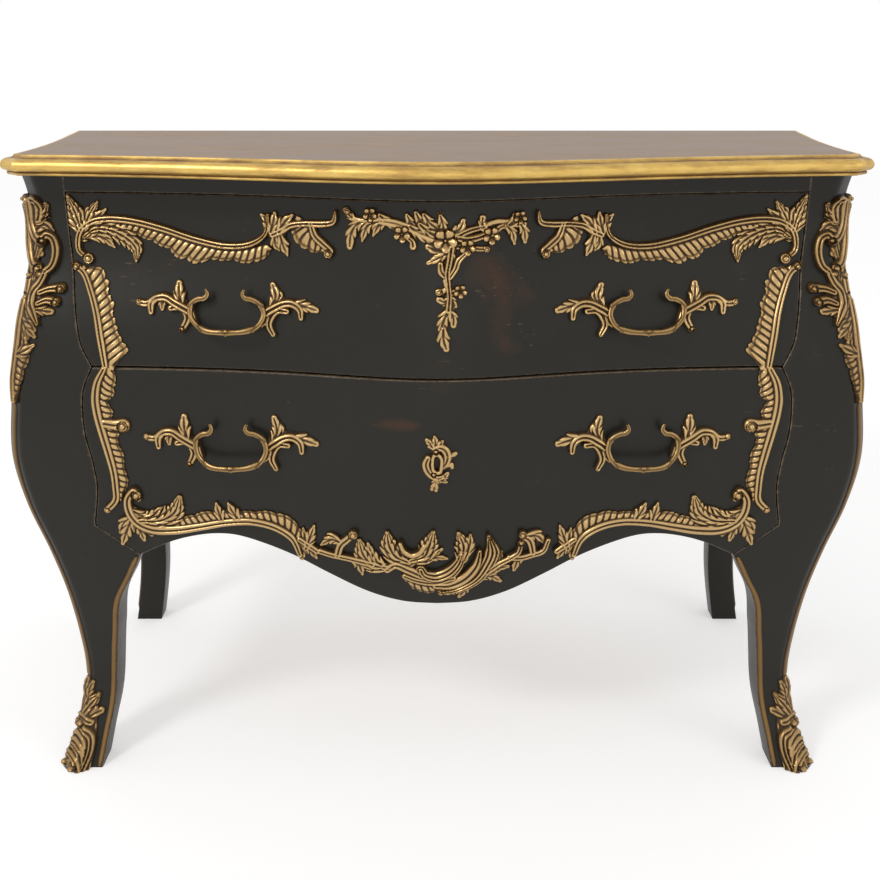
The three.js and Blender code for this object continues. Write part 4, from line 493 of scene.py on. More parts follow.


# %% [markdown]
# The mounts are cast bronze, chased and gilded. Each mount carries a "hollow" mark from 0 on the
# crests to 1 in the recesses. The crests get a paler gold, a painted highlight, and the recesses a
# dark brown that is partly dirt and old wax and partly painted shade. The brown is not metal, so
# the metallic value falls there too.

# %% Gilt bronze
def gilt_bronze():
    material, shader = finish("worn_gilt_bronze")
    where = add(material, "TexCoord").outputs["Object"]
    hollow = add(material, "Attribute", attribute_name="hollow")
    cloud = add(material, "TexNoise",
                {"Vector": where, "Scale": per_metre(18), "Detail": 5, "Roughness": 0.65})
    grit = add(material, "TexNoise",
               {"Vector": where, "Scale": per_metre(1.6), "Detail": 4, "Roughness": 0.7})
    # Painted highlight: the crests, where the hollow mark is low, get the paler gold.
    painted_crest_highlight = add(material, "MapRange", {"Value": hollow.outputs["Fac"], "From Min": 0.3, "From Max": 0})
    highlight_and_tone = add(material, "Mix", {0: 0.35, NUMBER_A: painted_crest_highlight, NUMBER_B: cloud})
    gold = add(material, "Mix",
               {0: highlight_and_tone, COLOUR_A: linear("#74552c"), COLOUR_B: linear("#c8a977")},
               data_type="RGBA")
    # Dirt and painted shade: the hollow mark turns the recesses dark brown and less metallic.
    spread = add(material, "Math", {0: cloud, 1: 0.5, 2: -0.25}, operation="MULTIPLY_ADD")
    dirt_and_shade = add(material, "Math", {0: hollow.outputs["Fac"], 1: spread}, operation="ADD")
    dirt_and_shade_share = add(material, "MapRange", {"Value": dirt_and_shade, "From Min": 0.22, "From Max": 0.74})
    colour = add(material, "Mix",
                 {0: dirt_and_shade_share, COLOUR_A: gold.outputs[MIXED_COLOUR],
                  COLOUR_B: linear("#3a2814")}, data_type="RGBA")
    metal = add(material, "MapRange", {"Value": dirt_and_shade_share, "To Min": 1, "To Max": 0.35})
    gloss = add(material, "MapRange", {"Value": dirt_and_shade, "To Min": 0.3, "To Max": 0.62})
    bump = add(material, "Bump", {"Height": grit, "Strength": 0.18, "Distance": 0.25 * MM})
    feed(material, shader, Base_Color=colour.outputs[MIXED_COLOUR], Metallic=metal,
         Roughness=gloss, Normal=bump)
    return material


# %% [markdown]
# The rail round the top is wood under gold leaf. Leaf is yellower than gilt bronze. Hands and
# dusters have rubbed it in streaks along its length, down to the brown ground. The same brown is
# laid by the hollow mark in the cove, the groove under the nose and the underside, as painted shade.

# %% Gold leaf
def gold_leaf():
    material, shader = finish("rubbed_gold_leaf")
    where = add(material, "TexCoord").outputs["Object"]
    hollow = add(material, "Attribute", attribute_name="hollow")
    drawn = add(material, "Mapping", {"Vector": where, "Scale": (0.16, 0.3, 1)})
    streak = add(material, "TexNoise",
                 {"Vector": drawn, "Scale": per_metre(9), "Detail": 7, "Roughness": 0.75})
    cloud = add(material, "TexNoise",
                {"Vector": where, "Scale": per_metre(60), "Detail": 4, "Roughness": 0.6})
    gold = add(material, "Mix",
               {0: cloud, COLOUR_A: linear("#bd924a"), COLOUR_B: linear("#e9ca78")},
               data_type="RGBA")
    # Wear and painted shade: brown ground shows along the streaks and where the hollow mark is high.
    wear_and_shade = add(material, "Math",
               {0: hollow.outputs["Fac"], 1: 0.5, 2: streak}, operation="MULTIPLY_ADD")
    ground_by_wear_and_shade = add(material, "MapRange",
                         {"Value": wear_and_shade, "From Min": 0.52, "From Max": 0.9, "To Max": 0.92})
    colour = add(material, "Mix",
                 {0: ground_by_wear_and_shade, COLOUR_A: gold.outputs[MIXED_COLOUR],
                  COLOUR_B: linear("#6b4420")}, data_type="RGBA")
    metal = add(material, "MapRange", {"Value": ground_by_wear_and_shade, "To Min": 1, "To Max": 0.2})
    gloss = add(material, "MapRange", {"Value": streak, "To Min": 0.25, "To Max": 0.6})
    bump = add(material, "Bump", {"Height": streak, "Strength": 0.2, "Distance": 0.3 * MM})
    feed(material, shader, Base_Color=colour.outputs[MIXED_COLOUR], Metallic=metal,
         Roughness=gloss, Normal=bump)
    return material


# %% [markdown]
# The lock is forged iron, blackened and a little rusty. Its roughness is high because it was
# filed and never polished.

# %% Iron
def filed_iron():
    material, shader = finish("filed_iron", Metallic=1.0)
    where = add(material, "TexCoord").outputs["Object"]
    rust = add(material, "TexNoise",
               {"Vector": where, "Scale": per_metre(12), "Detail": 6, "Roughness": 0.7})
    file_marks = add(material, "Mapping", {"Vector": where, "Scale": (0.1, 1, 1)})
    scratch = add(material, "TexNoise", {"Vector": file_marks, "Scale": per_metre(0.8), "Detail": 3})
    colour = add(material, "Mix",
                 {0: rust, COLOUR_A: linear("#6a6864"), COLOUR_B: linear("#5b4132")},
                 data_type="RGBA")
    gloss = add(material, "MapRange", {"Value": scratch, "To Min": 0.35, "To Max": 0.65})
    bump = add(material, "Bump", {"Height": scratch, "Strength": 0.2, "Distance": 0.1 * MM})
    feed(material, shader, Base_Color=colour.outputs[MIXED_COLOUR], Roughness=gloss, Normal=bump)
    return material


# %% Make the finishes
paint = black_paint()
top_finish = polished_top()
gilt = gilt_bronze()
leafed = gold_leaf()
iron = filed_iron()
oak_across = planed_wood("planed_oak_along_x", "#b08c5c", "#8d6a40", (0.06, 1, 1))
oak_deep = planed_wood("planed_oak_along_y", "#ae8a5a", "#8a673d", (1, 0.06, 1))
pine = planed_wood("sawn_pine", "#b8935f", "#97703f", (0.07, 1, 1))
print("finishes", [m.name for m in bpy.data.materials])

# %% [markdown]
# Nodes whose CAD shape is already right, such as the flat boards inside, keep it and only change
# their finish. A board's grain follows its length, so boards that run front to back have a finish
# of their own.

# %% Finish the boards that stay
def refinish(material, *names):
    for name in names:
        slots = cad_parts[name].material_slots
        for held in slots:
            held.material = material


def both(name):
    return [name + "_right", name + "_left"]


refinish(oak_across, "divider_rail", "rear_rail", "top_drawer_back", "top_drawer_bottom",
         "bottom_drawer_back", "bottom_drawer_bottom")
refinish(oak_deep, *both("top_drawer_side"), *both("bottom_drawer_side"), *both("upper_runner"),
         *both("lower_runner"))
refinish(pine, "back_panel", "dust_board", "bottom_board")
refinish(iron, "lock_case", "lock_bolt")
print("boards refinished")

# %% [markdown]
# A painted board has no sharp edges: each was eased with a plane and rounded again by the paint.
# The easing is drawn by rows placed close together near the rim, which sink back on a quarter
# circle. The same distance from the rim gives the "edge" mark where the paint is rubbed off.

# %% Eased edges
ease = 1.6
rubbed_reach = 1.5
close_rows = np.array([0, 0.12, 0.4, 0.8, 1.3])


def eased(distance, radius=ease):
    """How far the face sinks back at a distance from its rim."""
    near = np.clip(radius - distance, 0, radius)
    return radius - np.sqrt(radius ** 2 - near ** 2)


def rim_steps(span, count, radius=ease):
    """Shares from 0 to 1, with extra ones inside each rounded rim."""
    close = close_rows * radius / span
    middle = np.linspace(close[-1], 1 - close[-1], count)
    return np.concatenate([close[:-1], middle, 1 - close[-2::-1]])


def rubbed(distance):
    return np.exp(-np.maximum(distance, 0) / rubbed_reach)


rub_shares = [
    [0.12, 0.875, 0.09, 0.05, 1.0],
    [0.22, 0.835, 0.1, 0.035, 0.75],
    [0.16, 0.78, 0.07, 0.045, 0.8],
    [0.19, 0.745, 0.06, 0.02, 0.6],
    [-0.1, 0.63, 0.09, 0.014, 1.25],
    [-0.56, 0.655, 0.2, 0.014, 0.7],
    [0.09, 0.53, 0.08, 0.03, 0.6],
    [-0.35, 0.55, 0.07, 0.02, 0.5],
    [0.55, 0.62, 0.16, 0.02, 0.5],
    [-0.5, 0.76, 0.16, 0.02, 0.45],
]


def rub_at(x, z):
    """Where the paint is rubbed thin: patches by place, reach and strength."""
    total = np.zeros_like(x)
    for across, up, reach_x, reach_z, strength in rub_shares:
        far = ((x / opening_half_width - across) / reach_x) ** 2
        total += strength * np.exp(-far - ((z / carcase_height - up) / reach_z) ** 2)
    return total


def front_board(across, heights, half_width, foot_of, top, thickness, radius=ease):
    """A board on the swelling front: its face follows the front, from a lower line to its top."""
    share, rise = np.meshgrid(across, heights, indexing="ij")
    z = mix(foot_of(share), top, rise)
    x = share * half_width(z)
    rim = np.minimum((1 - np.abs(share)) * half_width(z), np.minimum(top - z, z - foot_of(share)))
    face = on_front(x, z, -eased(rim, radius))
    back = on_front(x, z, -thickness)
    marks = {"edge": np.concatenate([rubbed(rim).ravel(), np.zeros(rim.size)]),
             "rub": np.concatenate([rub_at(x, z).ravel(), np.zeros(rim.size)])}
    return board(face, back), marks


# %% [markdown]
# The two drawer fronts and the rail over them are one swelling surface cut by thin dark gaps. The
# upper front is bounded by the curved edges of the posts. The lower one ends in the scalloped
# apron, whose outline is a smooth curve through a few points.

# %% Drawer fronts and frieze rail
drawer_side_gap = 1.5
drawer_top_gap = 1.5
division_gap = 3.5
front_thickness = 24
opening_top = 827.5
ear_foot_half_width = 413
apron_foot = 265
apron_rise = 97
apron_samples = 200
samples_per_span = 24
front_columns = 150
upper_front_span, upper_front_rows = 230, 44
lower_front_span, lower_front_rows = 300, 56
frieze_span, frieze_rows = 25, 6
frieze_ease = 0.8
apron_shares = np.array([
    [1, 0.63],
    [0.896, 0.845],
    [0.818, 0.948],
    [0.741, 1.0],
    [0.673, 0.99],
    [0.586, 0.887],
    [0.472, 0.69],
    [0.363, 0.443],
    [0.228, 0.165],
    [0.114, 0.031],
    [0, 0],
])


def drawer_half_width(z):
    return post_edge(np.maximum(z, ear_foot)) - drawer_side_gap


def smooth_line(points, count):
    """A smooth curve through points, as evenly spaced samples (a centripetal spline)."""
    points = np.asarray(points, float)
    ends = [2 * points[0] - points[1], *points, 2 * points[-1] - points[-2]]
    padded = np.array(ends)
    knots = np.concatenate([[0], np.cumsum(np.linalg.norm(np.diff(padded, axis=0), axis=1) ** 0.5)])
    samples = []
    for i in range(1, len(padded) - 2):
        t = np.linspace(knots[i], knots[i + 1], samples_per_span, endpoint=i == len(padded) - 3)[:, None]
        k = knots[i - 1:i + 3]
        p = padded[i - 1:i + 3]
        a = [mix(p[j], p[j + 1], (t - k[j]) / (k[j + 1] - k[j])) for j in range(3)]
        b = [mix(a[j], a[j + 1], (t - k[j]) / (k[j + 2] - k[j])) for j in range(2)]
        samples.append(mix(b[0], b[1], (t - k[1]) / (k[2] - k[1])))
    line = np.concatenate(samples)
    length = np.concatenate([[0], np.cumsum(np.linalg.norm(np.diff(line, axis=0), axis=1))])
    even = np.linspace(0, length[-1], count)
    return np.stack([np.interp(even, length, column) for column in line.T], axis=1)


apron_line = smooth_line(
    apron_shares * [ear_foot_half_width - drawer_side_gap, apron_rise] + [0, apron_foot],
    apron_samples)
apron_across = (apron_line[:, 0] / drawer_half_width(apron_line[:, 1]))[::-1]
apron_heights = apron_line[::-1, 1]
lower_front_top = division - division_gap / 2
upper_front_foot = division + division_gap / 2


def apron_at(share):
    return np.interp(np.abs(share), apron_across, apron_heights)


def level(height):
    return lambda share: np.full_like(share, height)


across = 2 * rim_steps(2 * opening_half_width, front_columns) - 1
upper_front, upper_marks = front_board(
    across, rim_steps(upper_front_span, upper_front_rows), drawer_half_width,
    level(upper_front_foot), opening_top - drawer_top_gap, front_thickness)
make_piece("upper_drawer_face", upper_front, paint, "top_drawer", ["top_drawer_front"], "lacquer",
           **upper_marks)
lower_front, lower_marks = front_board(
    across, rim_steps(lower_front_span, lower_front_rows), drawer_half_width, apron_at,
    lower_front_top, front_thickness)
make_piece("lower_drawer_face", lower_front, paint, "bottom_drawer", ["bottom_drawer_front"],
           "lacquer", **lower_marks)


def rail_half_width(z):
    return np.full_like(z, opening_half_width)


frieze, frieze_marks = front_board(
    across, rim_steps(frieze_span, frieze_rows, frieze_ease), rail_half_width, level(opening_top),
    carcase_height, front_thickness, frieze_ease)
make_piece("frieze_rail_face", frieze, paint, "carcase", ["frieze_rail"], "lacquer", **frieze_marks)

# %% [markdown]
# Each corner post runs down into its cabriole leg without a break. It is lofted through level
# sections: the front face, the canted corner with its two eased arrises, the side, and behind
# them either the hollow angle of the carcase or the full thickness of the leg.

# %% Corner posts
knee = (264, 316)
stile_thickness = 26
side_thickness = 18
post_side_run = 62
leg_thickness = 44
arris_ease = 5
post_levels = 190
face_columns = 7
flank_columns = 6
inner_arris_rub = [0.5, 0.8, 0.8, 0.5, 0.05]
corner_rub = [0.2, 0.42, 0.42, 0.2, 0.1, 0.2, 0.42, 0.42, 0.2]


def corner_arc(before, corner, after, radius, count=5):
    """Points that round a corner of a section, at every height at once."""
    def toward(other):
        way = other - corner
        return corner + way / np.linalg.norm(way, axis=-1, keepdims=True) * radius

    start, end = toward(before), toward(after)
    turns = np.linspace(0, 1, count)
    return [(1 - t) ** 2 * start + 2 * t * (1 - t) * corner + t * t * end for t in turns]


def section_point(x, depth):
    return np.stack(np.broadcast_arrays(x, depth), axis=-1).astype(float)


def post_back(z):
    return corner_forward(z) - mix(leg_thickness, post_side_run, ramp(z, *knee))


def corner_post():
    z = np.unique(np.concatenate([
        np.linspace(0, carcase_height, post_levels), [ear_foot, ear_top, division, opening_top]]))
    hollow = ramp(z, *knee)
    inner, back, cant = post_edge(z), post_back(z), cant_at(z)
    outer = side_width(back, z)
    elbow = corner_forward(z) - stile_thickness
    front_corner = section_point(corner_half_width(z) - cant, corner_forward(z))
    side_corner = section_point(corner_half_width(z), corner_forward(z) - cant)
    face_x = [mix(inner, corner_half_width(z) - cant - arris_ease, s)
              for s in np.linspace(0, 1, face_columns)]
    face = [section_point(x, front_depth(x, z)) for x in face_x]
    side_depths = [mix(corner_forward(z) - cant - arris_ease, back, s)
                   for s in np.linspace(0, 1, flank_columns)]
    side = [section_point(side_width(depth, z), depth) for depth in side_depths]
    full = [section_point(mix(outer, inner, s), back) for s in (1 / 3, 2 / 3, 1)]
    angle = [section_point(outer - side_thickness, back),
             section_point(side_width(elbow, z) - side_thickness, elbow),
             section_point(inner, face[0][:, 1] - stile_thickness)]
    rear = [mix(a, b, hollow[:, None]) for a, b in zip(full, angle)]
    first = corner_arc(rear[-1], face[0], face[1], ease, 4)
    section = [
        *first, *face[1:],
        *corner_arc(face[-1], front_corner, side_corner, arris_ease)[1:],
        *corner_arc(front_corner, side_corner, side[0], arris_ease),
        *side[1:], *rear,
    ]
    rings = np.stack([place(p[:, 0], p[:, 1], z) for p in section], axis=1)
    mark = np.zeros(rings.shape[:2])
    mark[:, :len(inner_arris_rub)] = inner_arris_rub
    arris = len(first) + len(face) - 1
    mark[:, arris:arris + len(corner_rub)] = corner_rub
    return loft(rings), mark


post, post_mark = corner_post()
for hand, turned in hands:
    make_piece("corner_post_" + hand, turned(post), paint, "carcase", ["front_post_" + hand],
               "lacquer", edge=post_mark)

# %% [markdown]
# The sides and the back posts close the carcase. The side's lower edge is a shallow arch between
# the front and back legs. The back posts are squarer, because they stand against a wall.

# %% Sides and back posts
side_foot = 318
side_arch = 34
back_post_depth = 44
back_post_width = 58
back_leg_width = 46
back_panel_thickness = 7
seat_gap = 0.3
side_depth_span, side_columns = 350, 40
side_height_span, side_rows = 520, 90
side_joint_ease = 0.2
side_foot_ease = 1.2
back_post_levels = 120
back_post_rub = 0.1


def side_board():
    shares, rises = np.meshgrid(
        rim_steps(side_depth_span, side_columns, side_joint_ease),
        rim_steps(side_height_span, side_rows, side_foot_ease), indexing="ij")
    foot = side_foot + side_arch * np.sin(math.pi * shares) ** 2
    z = mix(foot, carcase_height, rises)
    depth = mix(post_back(z), back_post_depth, shares)
    rim = z - foot
    x = side_width(depth, z)
    mark = np.concatenate([rubbed(rim).ravel(), np.zeros(rim.size)])
    return board(place(x - eased(rim), depth, z), place(x - side_thickness, depth, z)), mark


def back_post():
    z = np.linspace(0, carcase_height, back_post_levels)
    back = np.full_like(z, back_panel_thickness + seat_gap)
    fore = np.full_like(z, back_post_depth)
    inner = back_half_width(z) - mix(back_leg_width, back_post_width, ramp(z, *knee))
    corners = [section_point(side_width(back, z), back), section_point(side_width(fore, z), fore),
               section_point(inner, fore), section_point(inner, back)]
    section = []
    for i, corner in enumerate(corners):
        section += corner_arc(corners[i - 1], corner, corners[(i + 1) % 4], ease, 4)
    rings = np.stack([place(p[:, 0], p[:, 1], z) for p in section], axis=1)
    return loft(rings), np.full(rings.shape[:2], back_post_rub)


side, side_mark = side_board()
rear_post, rear_mark = back_post()
for hand, turned in hands:
    make_piece("side_board_" + hand, turned(side), paint, "carcase", ["side_panel_" + hand],
               "lacquer", edge=side_mark)
    make_piece("back_corner_post_" + hand, turned(rear_post), paint, "carcase",
               ["back_post_" + hand], "lacquer", edge=rear_mark)

# %% [markdown]
# The top overhangs the body. Its front swells like the drawers but more broadly, its corners are
# cut off at a slant, and its sides flare. One list of points gives the edge, and the panel and
# the moulding are both made from it.

# %% Top panel
top_centre_depth = 540
top_corner_depth = 441
top_corner_half_width = 540
top_back_half_width = 604
top_cant = 13
top_bell_width = 240
moulding_reach = 22


def top_edge_right(front_count=61, side_count=41):
    """Right half of the panel's edge from the middle of the front to the back, and its corners."""
    rim = bell(top_corner_half_width, top_bell_width)
    x = np.linspace(0, top_corner_half_width, front_count)
    swell = (bell(x, top_bell_width) - rim) / (1 - rim)
    front = section_point(x, mix(top_corner_depth, top_centre_depth, swell))
    t = np.linspace(0, 1, side_count)
    flare = t * t * (1 + side_flare - side_flare * t)
    side_x = mix(top_corner_half_width + top_cant, top_back_half_width, flare)
    return front, section_point(side_x, (top_corner_depth - top_cant) * (1 - t))


edge_front, edge_side = top_edge_right()
right_edge = np.concatenate([edge_front, edge_side])
whole_edge = np.concatenate([right_edge[:0:-1] * [-1, 1], right_edge])
panel_foot = carcase_height + seat_gap
panel_rings = np.stack([
    place(whole_edge[:, 0], whole_edge[:, 1], height) for height in (panel_foot, chest_height)])
make_piece("waxed_top_panel", loft(panel_rings), top_finish, "carcase", ["top_panel"], "top_wood")

# %% [markdown]
# The moulding is a rail of gilded wood. Its section has a fillet beside the wood, a deep hollow, a
# round nose and a small bead below. It is pushed along the edge in five lengths, mitred where
# they meet.

# %% Top moulding
moulding_shares = np.array([
    [0, 0], [0.12, -0.0], [0.2, 0.02], [0.26, 0.1], [0.36, 0.17], [0.5, 0.18], [0.66, 0.19],
    [0.8, 0.24], [0.93, 0.35], [0.998, 0.49], [0.98, 0.6], [0.9, 0.71], [0.78, 0.78], [0.64, 0.8],
    [0.6, 0.83], [0.64, 0.87], [0.65, 0.92], [0.62, 0.97], [0.56, 1], [0, 1],
])


def moulding_run(edge, low, high):
    """The rail along part of the edge; the directions of its neighbours mitre its ends."""
    ways = np.diff(edge, axis=0)
    ways /= np.linalg.norm(ways, axis=1, keepdims=True)
    before = np.concatenate([ways[:1], ways])
    after = np.concatenate([ways, ways[-1:]])
    normal = np.stack([before[:, 1] + after[:, 1], -before[:, 0] - after[:, 0]], axis=1)
    normal /= np.linalg.norm(normal, axis=1, keepdims=True)
    spread = normal[:, 0] * before[:, 1] - normal[:, 1] * before[:, 0]
    normal /= spread[:, None]
    rings = []
    for out, down in moulding_shares:
        reach = mix(seat_gap, moulding_reach, out)
        line = edge + normal * reach
        height = chest_height - down * (top_thickness - seat_gap)
        rings.append(place(line[:, 0], np.maximum(0, line[:, 1]), height)[low:high + 1])
    return loft(np.stack(rings, axis=1))


edge_line = whole_edge[::-1]
side_last = len(edge_side) - 1
front_last = side_last + 1 + 2 * (len(edge_front) - 1)
last = len(edge_line) - 1
runs = {
    "side_right": (0, side_last),
    "corner_right": (side_last, side_last + 1),
    "front": (side_last + 1, front_last),
    "corner_left": (front_last, front_last + 1),
    "side_left": (front_last + 1, last),
}
hollow_places = [0, 2, 4, 6, 9, 13, 14, 16, 19]
# Painted shade: the cove, the groove under the nose and the underside are marked dark, the nose and the
# bead light.
cove_shade_marks = [0.2, 0.1, 0.75, 0.35, 0.0, 0.5, 0.9, 0.2, 0.6]
moulding_shade_mark = np.interp(np.arange(len(moulding_shares)), hollow_places, cove_shade_marks)
for run, (low, high) in runs.items():
    make_piece("gilt_rail_" + run, moulding_run(edge_line, low, high), leafed, "carcase",
               ["top_moulding_" + run], "gilt", hollow=np.tile(moulding_shade_mark, high - low + 1))

# %% [markdown]
# Thin half-round strips of the same gilt bronze as the mounts outline the legs: one down the
# corner, one along the inner edge and one down the back leg.

# %% Gilt strips on the legs
line_half_width = 4.2
line_rise = 2.8
arris_half_width = 6
arris_line = (117, 546)
inner_line = (2, 322)
back_line = (20, 300)
back_line_face = 42
inner_line_inset = 1
strip_levels = 90
strip_taper = 5
strip_end = 0.5
strip_side_dirt_and_shade = 0.95
strip_crest_highlight = 0.65
strip_turns = np.linspace(-1, 1, 9)
strip_round = np.sqrt(1 - strip_turns ** 2)


def strip(point_at, heights, half_width):
    """A half-round strip: its round side through a surface function, its flat side beneath."""
    z = np.linspace(*heights, strip_levels)
    taper = np.clip(np.minimum(z - heights[0], heights[1] - z) / strip_taper, strip_end, 1)
    rings = [point_at(turn * half_width * taper, z, line_rise * up * taper)
             for turn, up in zip(strip_turns, strip_round)]
    return loft(np.stack(rings, axis=1))


def inner_point(across, z, lift):
    return on_front(post_edge(z) + line_half_width + inner_line_inset + across, z, lift)


def back_point(across, z, lift):
    depth = back_line_face - line_half_width + across
    return place(side_width(depth, z) + lift, depth, z)


# Painted shade and highlight: the strip's sides are marked dark, partly dirt beside the paint, and its
# round top light.
strip_shade_highlight_and_dirt = np.tile(strip_side_dirt_and_shade - strip_crest_highlight * strip_round, strip_levels)
for name, point_at, heights, half_width in (
        ("arris_line", on_corner, arris_line, arris_half_width),
        ("inner_leg_line", inner_point, inner_line, line_half_width),
        ("back_leg_line", back_point, back_line, line_half_width)):
    shape = strip(point_at, heights, half_width)
    for hand, turned in hands:
        make_piece("gilt_" + name + "_" + hand, turned(shape), gilt, "carcase",
                   [name + "_" + hand], "gilt", hollow=strip_shade_highlight_and_dirt)

# %% [markdown]
# The mounts are thin castings of acanthus leaves, stems, buds and flowers. Each is drawn as
# strokes in a box laid on the surface: a place is a share of the box, a width or height a share
# of one unit. A thin stem is round and a broad one reeded, a leaf is fluted and lobed, a fringe is
# a ribbed leaf with a scalloped edge, to the left of its line or to the right where the reach is
# below nought, and a bead or flower is a dome.

# %% Strokes
stroke_unit = 10


def along_path(kind):
    """A function that writes down a stroke along a path, with its widths and its rise."""
    return lambda path, wide, rise: {"kind": kind, "path": path, "wide": wide, "rise": rise}


def round_centre(kind):
    return lambda centre, radius, rise: {"kind": kind, "centre": centre, "radius": radius, "rise": rise}


stem, leaf, fringe = along_path("stem"), along_path("leaf"), along_path("fringe")
bead, flower = round_centre("bead"), round_centre("flower")


def front_box(left, right, lift_left, lift_right, height, crown=0, lean=0):
    """A box on the front: its sides in shares of the opening, its foot over the division."""
    return {
        "left": left * opening_half_width, "right": right * opening_half_width,
        "foot_left": division + lift_left, "foot_right": division + lift_right,
        "height": height, "crown": crown, "lean": lean,
    }


def in_field(field, points):
    """Shares of a box as millimetres on the surface: across, and up."""
    s, t = np.asarray(points, float).T
    foot = mix(field["foot_left"], field["foot_right"], s) + field["crown"] * np.sin(math.pi * s)
    x = mix(field["left"], field["right"], s) + field["lean"] * t
    return np.stack([x, foot + field["height"] * t], axis=-1)


# %% [markdown]
# Along the head of the upper drawer runs a long leafy rail on each side, curled at its outer end
# and combed below. A garland of flowers hangs between the two.

# %% Frieze leaves
frieze_field = front_box(-0.998, -0.256, 136.5, 147.5, 86, crown=4)
frieze_strokes = [
    stem([[0.09, 0.03], [0.05, 0.17], [0.055, 0.45], [0.1, 0.59], [0.16, 0.62], [0.25, 0.57], [0.36, 0.44],
         [0.48, 0.27], [0.6, 0.17], [0.69, 0.22], [0.74, 0.38], [0.75, 0.66]],
         [0.3, 0.38, 0.42, 0.42, 0.4, 0.4, 0.35, 0.2], 0.8),
    bead([0.085, 0.03], 0.75, 0.9),
    fringe([[0.74, 0.21], [0.68, 0.14], [0.6, 0.12], [0.53, 0.16], [0.45, 0.26], [0.36, 0.39], [0.29, 0.49],
           [0.22, 0.55], [0.15, 0.56]], [1.4, 2, 1.5, 1.5, 2.5, 2.7, 1.9, 1.7, 1.4, 1.2, 0.6], 0.5),
    leaf([[0.06, 0.46], [0.04, 0.72], [0.01, 1.01]], [0.5, 0.8, 0.15], 0.7),
    leaf([[0.07, 0.5], [0.09, 0.7], [0.12, 0.9]], [0.45, 0.75, 0.12], 0.7),
    leaf([[0.09, 0.56], [0.12, 0.67], [0.15, 0.77]], [0.4, 0.55, 0.12], 0.6),
    leaf([[0.055, 0.43], [0.03, 0.62], [0.01, 0.8]], [0.4, 0.6, 0.12], 0.6),
    leaf([[0.07, 0.36], [0.11, 0.47], [0.17, 0.44], [0.23, 0.3], [0.26, 0.15], [0.26, -0.05]],
         [0.4, 0.6, 0.75, 0.85, 0.7, 0.12], 0.8),
    leaf([[0.09, 0.37], [0.14, 0.33], [0.18, 0.18]], [0.4, 0.6, 0.12], 0.6),
    leaf([[0.76, 0.4], [0.77, 0.56], [0.775, 0.7]], [0.45, 0.65, 0.15], 0.7),
    leaf([[0.745, 0.43], [0.745, 0.57], [0.725, 0.66]], [0.4, 0.55, 0.15], 0.6),
    leaf([[0.79, 0.4], [0.81, 0.56], [0.84, 0.67]], [0.45, 0.65, 0.15], 0.7),
    leaf([[0.795, 0.35], [0.805, 0.2], [0.82, 0.06]], [0.45, 0.6, 0.12], 0.6),
    leaf([[0.775, 0.35], [0.775, 0.22], [0.79, 0.13]], [0.4, 0.5, 0.12], 0.6),
    stem([[0.765, 0.36], [0.8, 0.43], [0.83, 0.51], [0.88, 0.55], [0.95, 0.56], [0.985, 0.6],
         [0.995, 0.76]], [0.35, 0.4, 0.36, 0.35, 0.4, 0.35, 0.15], 0.7),
    stem([[0.905, 0.56], [0.92, 0.38], [0.95, 0.26], [0.975, 0.16], [0.967, 0.08]],
         [0.3, 0.4, 0.45, 0.4, 0.3], 0.7),
    bead([0.966, 0.12], 0.6, 0.9),
    fringe([[0.908, 0.54], [0.92, 0.365], [0.95, 0.24], [0.97, 0.15]], [-3, -2.5, -1.6, -0.5], 0.5),
]
print("strokes", "frieze", len(frieze_strokes))

